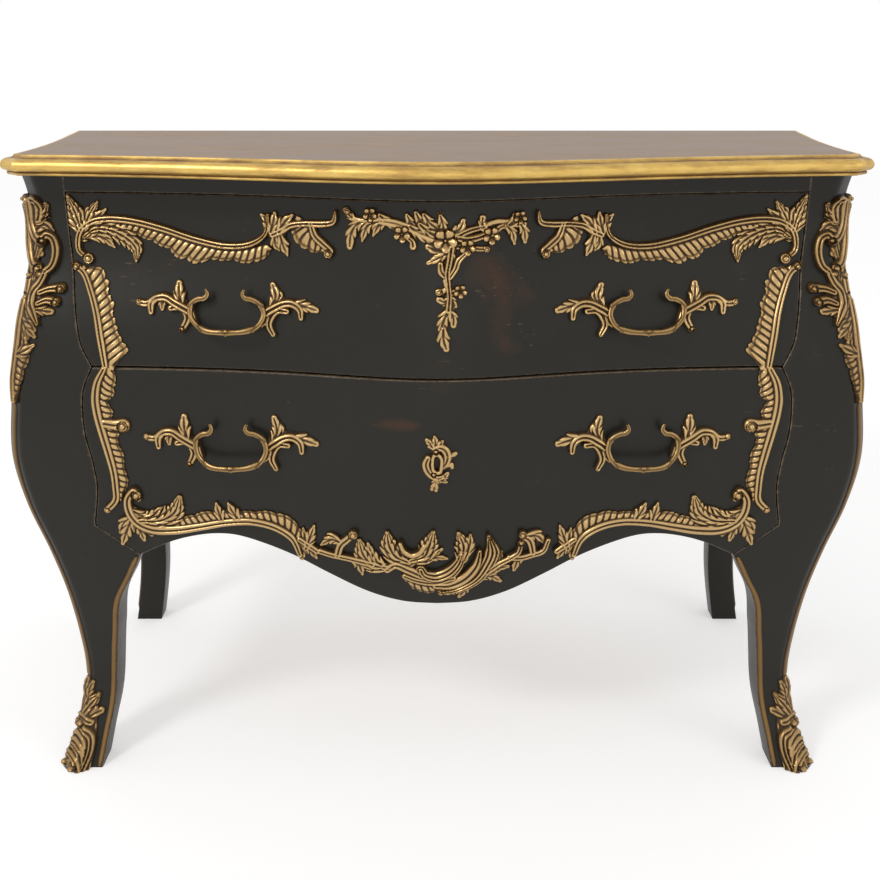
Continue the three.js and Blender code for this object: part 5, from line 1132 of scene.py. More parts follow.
# %% Garland
garland_field = front_box(-0.247, 0.264, 147.5, 147.5, 73, crown=3.5)
garland_strokes = [
    leaf([[0.08, 0.75], [0.05, 0.82], [0.03, 0.91]], [0.3, 0.42, 0.35], 0.6),
    bead([0.035, 0.89], 0.42, 0.7),
    stem([[0.07, 0.77], [0.11, 0.74], [0.16, 0.76], [0.22, 0.75], [0.28, 0.72], [0.34, 0.65]],
         [0.3, 0.3, 0.28, 0.28], 0.6),
    leaf([[0.165, 0.74], [0.09, 0.69], [0.055, 0.52], [0.045, 0.28]], [0.25, 0.5, 0.55, 0.3], 0.7),
    leaf([[0.195, 0.72], [0.14, 0.65], [0.12, 0.52], [0.11, 0.38]], [0.25, 0.48, 0.45, 0.12], 0.6),
    leaf([[0.23, 0.72], [0.19, 0.62], [0.165, 0.47]], [0.3, 0.45, 0.12], 0.5),
    leaf([[0.2, 0.83], [0.235, 0.73], [0.275, 0.6]], [0.35, 0.5, 0.25], 0.7),
    flower([0.15, 0.84], 0.9, 1),
    stem([[0.2, 0.71], [0.28, 0.65], [0.33, 0.6], [0.4, 0.49], [0.47, 0.39]], [0.25, 0.28, 0.3, 0.3], 0.6),
    flower([0.31, 0.5], 1.05, 1.1),
    stem([[0.33, 0.46], [0.36, 0.38], [0.365, 0.29]], [0.25, 0.3, 0.4], 0.7),
    leaf([[0.335, 0.83], [0.355, 0.7], [0.385, 0.54]], [0.3, 0.45, 0.3], 0.6),
    leaf([[0.38, 0.87], [0.4, 0.73], [0.44, 0.56]], [0.3, 0.45, 0.3], 0.7),
    leaf([[0.35, 0.64], [0.4, 0.5], [0.47, 0.39]], [0.4, 0.6, 0.4], 0.7),
    leaf([[0.42, 0.84], [0.445, 0.71], [0.49, 0.58]], [0.35, 0.5, 0.3], 0.7),
    leaf([[0.4, 0.67], [0.44, 0.55], [0.5, 0.44]], [0.35, 0.5, 0.35], 0.8),
    leaf([[0.5, 0.82], [0.51, 0.7], [0.52, 0.52]], [0.35, 0.48, 0.35], 0.6),
    leaf([[0.55, 0.5], [0.6, 0.61], [0.615, 0.74]], [0.4, 0.6, 0.2], 0.7),
    stem([[0.58, 0.46], [0.65, 0.57], [0.72, 0.63]], [0.35, 0.38, 0.3], 0.7),
    stem([[0.57, 0.45], [0.63, 0.41], [0.685, 0.44], [0.73, 0.5]], [0.4, 0.42, 0.4, 0.35], 0.8),
    flower([0.525, 0.39], 1.5, 1.3),
    leaf([[0.715, 0.61], [0.708, 0.7], [0.71, 0.78]], [0.45, 0.5, 0.3], 0.7),
    flower([0.755, 0.47], 1.1, 1.1),
    stem([[0.77, 0.5], [0.8, 0.62], [0.87, 0.655], [0.92, 0.67]], [0.35, 0.3, 0.3], 0.5),
    stem([[0.71, 0.63], [0.78, 0.72], [0.84, 0.72], [0.88, 0.76]], [0.28, 0.28, 0.3], 0.5),
    leaf([[0.83, 0.64], [0.86, 0.7], [0.87, 0.84]], [0.35, 0.6, 0.2], 0.7),
    flower([0.9, 0.79], 0.85, 1),
    leaf([[0.83, 0.64], [0.86, 0.52], [0.87, 0.33]], [0.3, 0.45, 0.15], 0.6),
    leaf([[0.9, 0.67], [0.92, 0.55], [0.925, 0.36]], [0.3, 0.5, 0.2], 0.6),
    leaf([[0.53, 0.24], [0.49, 0.21], [0.44, 0.28]], [0.5, 0.6, 0.3], 0.7),
    leaf([[0.535, 0.2], [0.49, 0.09], [0.44, 0]], [0.4, 0.48, 0.2], 0.6),
    leaf([[0.56, 0.2], [0.555, 0.1], [0.53, 0]], [0.35, 0.42, 0.2], 0.6),
    stem([[0.55, 0.32], [0.6, 0.28], [0.67, 0.25], [0.73, 0.24]], [0.35, 0.35, 0.3, 0.3], 0.5),
    flower([0.635, 0.27], 1, 1.1),
    bead([0.73, 0.24], 0.45, 0.8),
    stem([[0.555, 0.26], [0.545, 0.02], [0.535, -0.18], [0.54, -0.38], [0.545, -0.59], [0.54, -0.82]],
         [0.4, 0.35, 0.32, 0.3, 0.3, 0.35], 0.8),
    stem([[0.5, -0.02], [0.505, -0.15], [0.53, -0.25]], [0.3, 0.4, 0.3], 0.6),
    stem([[0.63, 0.18], [0.59, 0.04], [0.575, -0.1], [0.55, -0.24]], [0.25, 0.35, 0.35, 0.3], 0.7),
    stem([[0.525, -0.3], [0.53, -0.44], [0.495, -0.51]], [0.28, 0.28, 0.3], 0.6),
    bead([0.492, -0.5], 0.5, 0.8),
    stem([[0.545, -0.54], [0.57, -0.5], [0.59, -0.49]], [0.35, 0.35, 0.35], 0.6),
    flower([0.6, -0.49], 0.85, 1),
    leaf([[0.545, -0.56], [0.56, -0.66], [0.575, -0.75]], [0.35, 0.42, 0.2], 0.6),
    leaf([[0.545, -0.59], [0.525, -0.67], [0.495, -0.64]], [0.35, 0.45, 0.3], 0.6),
    leaf([[0.545, -0.79], [0.53, -0.9], [0.51, -1.06], [0.505, -1.24]], [0.4, 0.65, 0.5, 0.3], 0.7),
    leaf([[0.545, -0.83], [0.565, -0.94], [0.565, -1.08]], [0.35, 0.42, 0.3], 0.6),
    leaf([[0.515, -1.14], [0.516, -1.33], [0.53, -1.5]], [0.4, 0.62, 0.3], 0.7),
]
print("strokes", "garland", len(garland_strokes))

# %% [markdown]
# Combed feathers stand beside the drawers' edges, and the lower ones turn into the leafy scrolls
# that follow the apron.

# %% Feathers
upper_feather_field = front_box(-0.972, -0.832, 0, 0, 129.5)
lower_feather_field = front_box(-0.94, -0.842, -205.5, -205.5, 200, lean=12)
upper_feather_strokes = [
    stem([[0, 1.02], [0.17, 0.95], [0.33, 0.76], [0.45, 0.55], [0.53, 0.32], [0.63, 0.02]],
         [0.4, 0.38, 0.4, 0.42, 0.42, 0.35], 0.7),
    bead([0.03, 1.01], 0.5, 0.8),
    fringe([[0.66, 0.02], [0.59, 0.19], [0.53, 0.33], [0.47, 0.51], [0.38, 0.7], [0.27, 0.87],
           [0.15, 0.98]], [-1.4, -3, -3, -2.2, -2.5, -1.9, -2.6, -1.9, -2.5, -2.3, -0.8], 0.5),
]
lower_feather_strokes = [
    stem([[0.28, 1.02], [0.12, 0.93], [0.08, 0.83], [0.14, 0.73], [0.3, 0.59], [0.47, 0.45], [0.6, 0.32],
         [0.65, 0.2], [0.64, 0.1], [0.4, 0.025]], [0.35, 0.45, 0.5, 0.5, 0.5, 0.48, 0.45, 0.42, 0.42, 0.4],
         0.7),
    bead([0.39, 0.02], 0.5, 0.6),
    fringe([[0.33, 1.02], [0.2, 0.91], [0.18, 0.8], [0.3, 0.66], [0.46, 0.53], [0.6, 0.4], [0.7, 0.27],
           [0.73, 0.15], [0.75, 0.1]], [1.3, 1.9, 2, 1.2, 1.6, 1.1, 1.7, 1.1, 1.6, 1.1, 1.5, 1, 0.4], 0.5),
    stem([[0.35, 0.655], [0.61, 0.645], [0.86, 0.64]], [0.5, 0.55, 0.7], 0.7),
    bead([0.85, 0.635], 0.75, 0.8),
]
print("strokes", "upper_feather", len(upper_feather_strokes), "lower_feather", len(lower_feather_strokes))

# %% Apron scrolls
scroll_field = front_box(-0.878, -0.321, -277.5, -266.5, 105)
scroll_strokes = [
    stem([[0.12, 0.89], [0.1, 1], [0.065, 0.88], [0.07, 0.68], [0.11, 0.52], [0.18, 0.43], [0.29, 0.42],
         [0.42, 0.47], [0.55, 0.53], [0.68, 0.54], [0.79, 0.46], [0.87, 0.3], [0.905, 0.06]],
         [0.35, 0.45, 0.55, 0.6, 0.55, 0.5, 0.48, 0.48, 0.48, 0.45, 0.3], 0.8),
    bead([0.11, 0.94], 0.7, 0.9),
    leaf([[0.09, 0.71], [0.15, 0.62], [0.23, 0.75]], [0.4, 0.6, 0.12], 0.6),
    leaf([[0.11, 0.57], [0.22, 0.57], [0.29, 0.68], [0.32, 0.88]], [0.5, 0.9, 1, 0.3], 0.8),
    leaf([[0.075, 0.61], [0.035, 0.53], [0.01, 0.39]], [0.4, 0.6, 0.2], 0.6),
    leaf([[0.075, 0.59], [0.045, 0.42], [0.015, 0.22]], [0.45, 0.7, 0.2], 0.7),
    leaf([[0.09, 0.57], [0.11, 0.43], [0.125, 0.27]], [0.4, 0.6, 0.2], 0.6),
    leaf([[0.11, 0.53], [0.14, 0.44], [0.165, 0.34]], [0.4, 0.5, 0.2], 0.5),
    fringe([[0.9, 0.2], [0.87, 0.35], [0.81, 0.48], [0.73, 0.545], [0.62, 0.565], [0.52, 0.54],
           [0.41, 0.485], [0.31, 0.45]], [-0.7, -1.8, -1.8, -1.4, -1.2, -1.6, -1.8, -1.7, -1.2], 0.5),
    leaf([[0.525, 0.56], [0.51, 0.69], [0.5, 0.8]], [0.4, 0.55, 0.15], 0.7),
    leaf([[0.61, 0.57], [0.58, 0.69], [0.56, 0.8]], [0.45, 0.6, 0.15], 0.7),
    leaf([[0.91, 0.2], [0.915, 0.09], [0.91, -0.01]], [0.35, 0.5, 0.2], 0.6),
    leaf([[0.925, 0.2], [0.93, 0.33], [0.925, 0.45]], [0.35, 0.4, 0.12], 0.5),
    leaf([[0.935, 0.15], [0.957, 0.32], [0.98, 0.49]], [0.4, 0.6, 0.15], 0.7),
    leaf([[0.94, 0.2], [0.965, 0.1], [0.985, 0.01]], [0.35, 0.5, 0.15], 0.6),
    stem([[0.905, 0.29], [0.95, 0.2], [0.99, 0.12]], [0.35, 0.4, 0.36], 0.7),
]
print("strokes", "scroll", len(scroll_strokes))

# %% [markdown]
# In the middle of the apron sits a cartouche of flames and crossing fronds. Above it the keyhole
# has a small pierced plate of its own.

# %% Cartouche and escutcheon
cartouche_field = front_box(-0.339, 0.339, -330.5, -330.5, 108, crown=11)
escutcheon_field = {
    "left": -22, "right": 25, "foot_left": division - 153.5, "foot_right": division - 153.5,
    "height": 78, "crown": 0, "lean": 0,
}
cartouche_strokes = [
    stem([[0.03, 0.7], [0.08, 0.64], [0.14, 0.59], [0.24, 0.5]], [0.36, 0.35, 0.38, 0.45], 0.7),
    leaf([[0.16, 0.57], [0.185, 0.5], [0.2, 0.34]], [0.4, 0.55, 0.15], 0.6),
    stem([[0.1, 0.63], [0.115, 0.78], [0.14, 0.86], [0.165, 0.93]], [0.4, 0.45, 0.45, 0.4], 0.7),
    bead([0.167, 0.935], 0.7, 1),
    leaf([[0.12, 0.82], [0.08, 0.87], [0.035, 0.79]], [0.4, 0.65, 0.15], 0.6),
    leaf([[0.31, 0.45], [0.24, 0.5], [0.205, 0.65], [0.19, 0.84]], [0.45, 0.9, 0.95, 0.25], 0.7),
    leaf([[0.29, 0.46], [0.25, 0.6], [0.225, 0.8]], [0.4, 0.55, 0.15], 0.6),
    stem([[0.3, 0.42], [0.335, 0.49], [0.385, 0.42], [0.44, 0.33]], [0.4, 0.5, 0.55, 0.5], 0.8),
    leaf([[0.33, 0.49], [0.38, 0.52], [0.435, 0.51]], [0.35, 0.45, 0.2], 0.6),
    leaf([[0.39, 0.54], [0.335, 0.63], [0.31, 0.79], [0.303, 0.96]], [0.55, 1, 0.9, 0.2], 0.8),
    leaf([[0.39, 0.56], [0.45, 0.63], [0.47, 0.79], [0.485, 0.97]], [0.5, 0.9, 0.9, 0.2], 0.8),
    stem([[0.355, 0.81], [0.37, 0.7], [0.4, 0.64], [0.43, 0.68], [0.45, 0.78]], [0.25, 0.32, 0.3], 0.9),
    leaf([[0.45, 0.6], [0.49, 0.66], [0.52, 0.72]], [0.35, 0.45, 0.15], 0.5),
    leaf([[0.44, 0.59], [0.5, 0.6], [0.54, 0.58]], [0.4, 0.5, 0.15], 0.5),
    stem([[0.435, 0.43], [0.45, 0.34], [0.5, 0.295], [0.55, 0.37], [0.585, 0.51], [0.6, 0.66]],
         [0.5, 0.7, 0.8, 0.75, 0.6, 0.35], 0.9),
    leaf([[0.6, 0.6], [0.605, 0.78], [0.585, 0.95]], [0.6, 0.9, 0.2], 0.8),
    leaf([[0.61, 0.6], [0.63, 0.79], [0.632, 0.93]], [0.4, 0.6, 0.15], 0.7),
    stem([[0.37, 0.33], [0.41, 0.27], [0.48, 0.23], [0.565, 0.3]], [0.35, 0.4, 0.45, 0.4], 0.8),
    stem([[0.495, 0.185], [0.555, 0.19], [0.615, 0.3], [0.657, 0.49], [0.67, 0.7]], [0.4, 0.7, 0.6, 0.25],
         0.9),
    stem([[0.515, 0.08], [0.585, 0.125], [0.66, 0.285], [0.7, 0.49], [0.72, 0.68], [0.705, 0.92]],
         [0.35, 0.5, 0.6, 0.75, 0.8, 0.2], 0.9),
    leaf([[0.68, 0.34], [0.725, 0.46], [0.755, 0.68]], [0.45, 0.85, 0.2], 0.7),
    leaf([[0.715, 0.42], [0.75, 0.45], [0.785, 0.46]], [0.4, 0.5, 0.2], 0.6),
    stem([[0.7, 0.39], [0.75, 0.51], [0.8, 0.61], [0.825, 0.68], [0.835, 0.81]], [0.45, 0.4, 0.35, 0.3],
         0.8),
    bead([0.835, 0.82], 0.45, 0.8),
    leaf([[0.665, 0.29], [0.71, 0.33], [0.755, 0.24]], [0.4, 0.6, 0.2], 0.6),
    leaf([[0.62, 0.2], [0.61, 0.11], [0.59, 0]], [0.45, 0.5, 0.2], 0.6),
    fringe([[0.37, 0.29], [0.41, 0.23], [0.46, 0.185], [0.53, 0.165]], [-0.3, -1.4, -1.3, -0.8], 0.5),
    stem([[0.79, 0.6], [0.84, 0.6], [0.88, 0.64], [0.925, 0.7], [0.945, 0.86]], [0.38, 0.38, 0.36, 0.3],
         0.7),
    leaf([[0.85, 0.61], [0.825, 0.56], [0.81, 0.41]], [0.4, 0.55, 0.2], 0.6),
    stem([[0.84, 0.92], [0.87, 0.85], [0.885, 0.67]], [0.4, 0.45, 0.38], 0.7),
    bead([0.84, 0.94], 0.6, 1),
    leaf([[0.855, 0.92], [0.9, 0.92], [0.93, 0.81]], [0.4, 0.6, 0.15], 0.6),
]
escutcheon_strokes = [
    leaf([[0.41, 0.78], [0.31, 0.86], [0.19, 0.94]], [0.3, 0.45, 0.2], 0.5),
    leaf([[0.44, 0.78], [0.43, 0.89], [0.4, 1]], [0.3, 0.5, 0.15], 0.6),
    leaf([[0.49, 0.8], [0.57, 0.87], [0.62, 0.92]], [0.3, 0.38, 0.15], 0.5),
    stem([[0.42, 0.79], [0.58, 0.81], [0.7, 0.76], [0.76, 0.67], [0.74, 0.57], [0.65, 0.475]],
         [0.35, 0.42, 0.45, 0.45, 0.4, 0.3], 0.6),
    stem([[0.22, 0.62], [0.16, 0.52], [0.21, 0.4], [0.34, 0.3], [0.49, 0.26], [0.62, 0.28]],
         [0.35, 0.42, 0.45, 0.42, 0.35, 0.25], 0.6),
    stem([[0.35, 0.61], [0.39, 0.675], [0.49, 0.69], [0.59, 0.62], [0.59, 0.48], [0.555, 0.38],
         [0.47, 0.365], [0.38, 0.4], [0.345, 0.49], [0.35, 0.61]], [0.2, 0.22, 0.2], 0.7),
    bead([0.44, 0.745], 0.4, 0.6),
    bead([0.38, 0.33], 0.4, 0.6),
    leaf([[0.74, 0.65], [0.87, 0.67], [0.98, 0.7]], [0.28, 0.3, 0.2], 0.5),
    stem([[0.66, 0.48], [0.77, 0.51], [0.86, 0.5], [0.89, 0.455]], [0.3, 0.32, 0.32, 0.2], 0.5),
    leaf([[0.57, 0.27], [0.68, 0.29], [0.76, 0.34]], [0.3, 0.42, 0.2], 0.5),
    leaf([[0.5, 0.26], [0.62, 0.22], [0.73, 0.18]], [0.3, 0.4, 0.15], 0.5),
    leaf([[0.46, 0.26], [0.39, 0.15], [0.33, 0.05]], [0.3, 0.3, 0.2], 0.5),
    leaf([[0.47, 0.25], [0.45, 0.13], [0.44, 0.03]], [0.28, 0.26, 0.2], 0.5),
]
print("strokes", "cartouche", len(cartouche_strokes), "escutcheon", len(escutcheon_strokes))

# %% [markdown]
# The chutes and sabots wrap the corners, so their boxes are measured across the canted corner.

# %% Corner castings
chute_drop = 30


def corner_box(width, foot, height):
    return {"left": 0, "right": width, "foot_left": foot, "foot_right": foot,
            "height": height, "crown": 0, "lean": 0}


chute_field = corner_box(44, carcase_height - chute_drop - 280, 280)
sabot_field = corner_box(26, 0, 118)
chute_strokes = [
    stem([[-0.36, 0.97], [-0.26, 0.94], [-0.16, 0.9], [-0.11, 0.84], [-0.06, 0.76], [0.06, 0.7],
         [0.2, 0.67], [0.36, 0.66]], [0.5, 0.55, 0.5, 0.55, 0.55, 0.5, 0.45], 0.9),
    stem([[0.1, 0.95], [0.14, 0.88], [0.2, 0.82], [0.1, 0.72]], [0.9, 1.4, 1.2, 0.9], 0.45),
    stem([[0.1, 0.66], [0.2, 0.55], [0.2, 0.42], [0.35, 0.34]], [0.9, 1.2, 1.1, 0.4], 0.4),
    leaf([[0.16, 0.93], [0.14, 0.86], [0.24, 0.8]], [0.5, 0.7, 0.4], 0.55),
    leaf([[-0.02, 0.92], [0, 0.83], [0.1, 0.75]], [0.45, 0.6, 0.3], 0.6),
    leaf([[0.1, 0.69], [0.24, 0.73], [0.4, 0.72]], [0.4, 0.75, 0.3], 0.5),
    leaf([[0.12, 0.62], [0.25, 0.57], [0.35, 0.5]], [0.6, 0.75, 0.4], 0.45),
    leaf([[0.05, 0.4], [0.16, 0.34], [0.2, 0.24]], [0.6, 0.8, 0.4], 0.45),
    bead([-0.36, 0.97], 0.6, 1),
    stem([[-0.22, 0.93], [0, 0.965], [0.27, 0.97], [0.4, 0.94], [0.35, 0.88]], [0.35, 0.4, 0.4, 0.4], 0.9),
    stem([[0.02, 0.96], [0.03, 0.9], [0.08, 0.85], [0.22, 0.81], [0.45, 0.78]], [0.5, 0.6, 0.6, 0.5], 1),
    leaf([[0.35, 0.88], [0.42, 0.91], [0.58, 0.95]], [0.5, 0.8, 0.3], 0.9),
    leaf([[0.22, 0.82], [0.5, 0.86], [0.76, 0.83]], [0.4, 0.6, 0.2], 0.7),
    stem([[0.44, 0.78], [0.56, 0.81], [0.75, 0.8], [0.86, 0.76], [0.87, 0.71], [0.78, 0.665], [0.6, 0.64]],
         [0.4, 0.45, 0.48, 0.45, 0.42], 0.9),
    bead([0.46, 0.785], 0.5, 0.9),
    bead([0.38, 0.655], 0.55, 0.9),
    bead([0.47, 0.63], 0.55, 0.9),
    stem([[0.62, 0.64], [0.5, 0.59], [0.36, 0.55], [0.34, 0.5], [0.46, 0.455], [0.66, 0.4]],
         [0.4, 0.42, 0.42, 0.42, 0.4, 0.2], 0.8),
    fringe([[0.5, 0.59], [0.42, 0.56], [0.4, 0.52], [0.49, 0.47], [0.6, 0.435]], [0.8, 1.8, 2, 1.6, 0.6],
           0.4),
    stem([[0.55, 0.545], [0.8, 0.56], [1.18, 0.565]], [0.35, 0.4, 0.5], 0.8),
    bead([1.17, 0.564], 0.58, 1),
    stem([[0.55, 0.495], [0.8, 0.51], [1.1, 0.502]], [0.32, 0.4, 0.45], 0.8),
    bead([1.09, 0.502], 0.52, 0.9),
    leaf([[0.55, 0.467], [0.8, 0.46], [1, 0.455]], [0.35, 0.5, 0.3], 0.7),
    stem([[0.12, 0.69], [0.07, 0.62], [0.08, 0.55], [0.03, 0.49]], [0.45, 0.5, 0.45], 0.7),
    bead([0.07, 0.62], 0.6, 0.9),
    bead([0.08, 0.52], 0.6, 0.8),
    leaf([[0.05, 0.5], [0.22, 0.44], [0.58, 0.37]], [0.4, 0.7, 0.2], 0.6),
    leaf([[0.03, 0.43], [0.35, 0.38], [0.6, 0.34]], [0.4, 0.55, 0.2], 0.6),
    leaf([[0.02, 0.25], [0.3, 0.27], [0.6, 0.3]], [0.4, 0.6, 0.2], 0.7),
    stem([[0.03, 0.5], [0.01, 0.42], [0.025, 0.35], [0.025, 0.28], [0.01, 0.21], [0, 0.13], [0.1, 0.03]],
         [0.45, 0.5, 0.5, 0.45, 0.45, 0.42, 0.4, 0.3], 0.8),
    fringe([[0.06, 0.26], [0.04, 0.19], [0.03, 0.12], [0.07, 0.04]], [2, 1.8, 1.5, 1.2, 0.5], 0.5),
]
sabot_strokes = [
    stem([[0, 0.9], [0, 0.64], [0, 0.34], [0, 0.13], [0, -0.3]], [0.6, 1.3, 1.7, 2.1, 2],
         [0.3, 0.5, 0.6, 0.9, 1.2]),
    stem([[-0.4, 0.45], [0.1, 0.44], [0.62, 0.36], [0.8, 0.2], [0.7, 0.01]], [0.35, 0.45, 0.4], 1.1),
    stem([[-0.6, 0.28], [-0.1, 0.36], [0.32, 0.33], [0.5, 0.24]], [0.2, 0.3, 0.3, 0.2], 1.0),
    stem([[-0.7, 0.2], [-0.15, 0.29], [0.32, 0.26], [0.52, 0.16]], [0.2, 0.3, 0.32, 0.2], 1.1),
    stem([[-0.75, 0.12], [-0.2, 0.22], [0.3, 0.19], [0.52, 0.08]], [0.25, 0.32, 0.35, 0.25], 1.2),
    stem([[-0.8, 0.03], [-0.25, 0.14], [0.25, 0.11], [0.5, 0]], [0.3, 0.38, 0.4, 0.3], 1.4),
    bead([-0.35, 0.03], 0.6, 1.5),
    bead([0.2, 0.02], 0.6, 1.5),
    leaf([[0.05, 0.76], [-0.1, 0.88], [0, 0.97]], [0.6, 0.55, 0.3], 0.6),
    leaf([[0.08, 0.77], [0.28, 0.89], [0.4, 0.95]], [0.4, 0.45, 0.2], 0.5),
    leaf([[0.08, 0.58], [0.45, 0.72], [0.74, 0.8]], [0.6, 0.75, 0.25], 0.8),
    leaf([[0.1, 0.55], [-0.12, 0.62], [-0.17, 0.7]], [0.5, 0.75, 0.4], 0.7),
    leaf([[0.1, 0.5], [0.6, 0.59], [0.95, 0.62]], [0.5, 0.5, 0.35], 0.7),
    stem([[-0.5, 0.5], [0, 0.53], [0.5, 0.5]], [0.4, 0.5, 0.4], [0.8, 0.9, 0.8]),
    bead([0, 0.47], 0.6, 1.2),
]
print("strokes", "chute", len(chute_strokes), "sabot", len(sabot_strokes))

# %% [markdown]
# A handle's two leafy ends are one set of strokes, and its bail a list of places, heights off the
# front and radii.

# %% Handles
upper_handle_field = front_box(-0.805, -0.314, 46.5, 54.5, 66.5)
lower_handle_field = front_box(-0.788, -0.319, -136.5, -126.5, 74)
bail_shares = [
    [0.398, 0.86, 1.4, 0.18],
    [0.408, 0.76, 1.3, 0.42],
    [0.388, 0.68, 1.2, 0.44],
    [0.354, 0.66, 1.1, 0.38],
    [0.317, 0.563, 1.05, 0.4],
    [0.317, 0.344, 1.25, 0.4],
    [0.357, 0.186, 1.9, 0.44],
    [0.41, 0.102, 2.5, 0.4],
    [0.523, 0.078, 2.8, 0.5],
    [0.632, 0.098, 2.5, 0.4],
    [0.692, 0.18, 1.9, 0.44],
    [0.718, 0.38, 1.25, 0.4],
    [0.696, 0.563, 1.05, 0.4],
    [0.649, 0.66, 1.1, 0.38],
    [0.622, 0.68, 1.2, 0.44],
    [0.602, 0.75, 1.3, 0.42],
    [0.612, 0.85, 1.4, 0.18],
]
screw_shares = [[0.265, 0.5], [0.762, 0.52]]

handle_strokes = [
    stem([[0.02, 0.59], [0.06, 0.56], [0.12, 0.67], [0.17, 0.68], [0.22, 0.58], [0.3, 0.43]],
         [0.36, 0.32, 0.42, 0.45, 0.5, 0.5], [0.4, 0.5, 0.8, 0.9, 1.1, 1.15]),
    bead([0.02, 0.6], 0.42, 0.7),
    stem([[0.12, 0.66], [0.09, 0.57], [0.09, 0.4]], [0.35, 0.42, 0.3], 0.6),
    leaf([[0.165, 0.63], [0.15, 0.54], [0.15, 0.45]], [0.35, 0.5, 0.2], 0.5),
    leaf([[0.26, 0.55], [0.245, 0.74], [0.242, 0.95]], [0.5, 0.62, 0.3], 0.8),
    leaf([[0.25, 0.57], [0.225, 0.68], [0.215, 0.78]], [0.35, 0.42, 0.15], 0.6),
    stem([[0.2, 0.475], [0.24, 0.49], [0.28, 0.42], [0.294, 0.28], [0.265, 0.06]], [0.35, 0.48, 0.35], 0.8),
    bead([0.265, 0.07], 0.38, 0.6),
    stem([[0.3, 0.46], [0.316, 0.32], [0.34, 0.18]], [0.5, 0.45, 0.25], 0.8),
    stem([[0.918, 0.29], [0.91, 0.46], [0.87, 0.565], [0.82, 0.56], [0.77, 0.48], [0.73, 0.4]],
         [0.3, 0.42, 0.45, 0.45, 0.5, 0.5], [0.6, 0.7, 0.8, 0.9, 1.15, 1.15]),
    leaf([[0.87, 0.57], [0.935, 0.52], [1, 0.445]], [0.4, 0.6, 0.3], 0.6),
    leaf([[0.757, 0.48], [0.78, 0.7], [0.763, 0.915]], [0.5, 0.62, 0.3], 0.8),
    leaf([[0.785, 0.52], [0.804, 0.7], [0.787, 0.84]], [0.35, 0.45, 0.15], 0.6),
    stem([[0.84, 0.42], [0.79, 0.43], [0.755, 0.32], [0.743, 0.15], [0.767, -0.03]], [0.35, 0.48, 0.3],
         0.8),
    stem([[0.73, 0.4], [0.725, 0.24], [0.706, 0.13]], [0.5, 0.42, 0.2], 0.8),
]
print("strokes", "handle", len(handle_strokes))

# %% [markdown]
# A casting becomes a mesh as a height field. Over a fine grid each stroke says how far inside its
# outline a point lies and how high the metal stands there, and the highest stroke wins, which
# leaves the crisp creases that a chaser cuts between leaves. The ribs of a fringe slant forward
# along their line, as a feather's barbs do, and three of them fill each scallop of its edge.

# %% Relief of one stroke
leaflet_pitch = 9
barbs_in_scallop = 3
lobe_pitch = 13
barb_slant = 0.45
lobe_slant = 1.6
reed_width = 6.2
stem_girth = 1.5
leaf_girth = 1.5
path_step = 0.5
reed_onset = 0.3
stem_groove = 0.34
leaf_bulge, leaf_notch = 1.08, 0.26
leaf_cut = 0.45
leaf_flute = 0.35
thin_edge = 0.35
fringe_bulge = 1.1
scallop_depth, notch_depth = 0.14, 0.08
barb_groove = 0.42
curl_place, curl_width, curl_depth = 0.6, 0.13, 0.3
petals = 5
petal_turn = 0.6
petal_foot, petal_reach = 0.66, 0.44
heart_rise, heart_share = 0.55, 0.17


def path_relief(stroke, field, x, z):
    """Reach inside the outline and height of a stem, leaf or fringe, over grid points."""
    ends = in_field(field, stroke["path"])
    length = np.linalg.norm(np.diff(ends, axis=0), axis=1).sum()
    count = max(12, int(length / path_step))
    line = smooth_line(ends, count)
    share = np.linspace(0, 1, count)
    wide = np.interp(share, np.linspace(0, 1, len(stroke["wide"])), stroke["wide"]) * stroke_unit
    rises = np.atleast_1d(stroke["rise"])
    rise = np.interp(share, np.linspace(0, 1, len(rises)), rises) * stroke_unit
    way = np.gradient(line, axis=0)
    way /= np.linalg.norm(way, axis=1, keepdims=True)
    away = np.stack([x, z], axis=1)[:, None] - line
    nearest = np.argmin((away ** 2).sum(axis=2), axis=1)
    away = away[np.arange(len(x)), nearest]
    way = way[nearest]
    left = way[:, 0] * away[:, 1] - way[:, 1] * away[:, 0]
    far = np.hypot(away[:, 0], away[:, 1])
    t, wide, rise = share[nearest], wide[nearest], rise[nearest]
    if stroke["kind"] == "stem":
        return stem_relief(far / (wide * stem_girth), wide * stem_girth, rise)
    if stroke["kind"] == "leaf":
        return leaf_relief(far / (wide * leaf_girth), t, wide * leaf_girth, rise, length)
    past_end = np.sqrt(np.maximum(0, far ** 2 - left ** 2))
    return fringe_relief(left / wide, t, np.abs(wide), rise, length, past_end)


def reed_groove(out, wide):
    """1 in the line between two reeds, 0 on their crests; a form that is narrow has no line."""
    pairs = max(0, round(wide.max() / reed_width - reed_onset))
    return min(pairs, 1) * (0.5 + 0.5 * np.cos(2 * math.pi * pairs * np.minimum(out, 0.9)))


def stem_relief(out, wide, rise):
    """A thin stem is round; a broader one is parted into reeds by dark lines."""
    dome = np.clip(1 - out ** 2, 0, 1) ** 0.4
    return (1 - out) * wide, rise * dome * (1 - stem_groove * reed_groove(out, wide) ** 2)


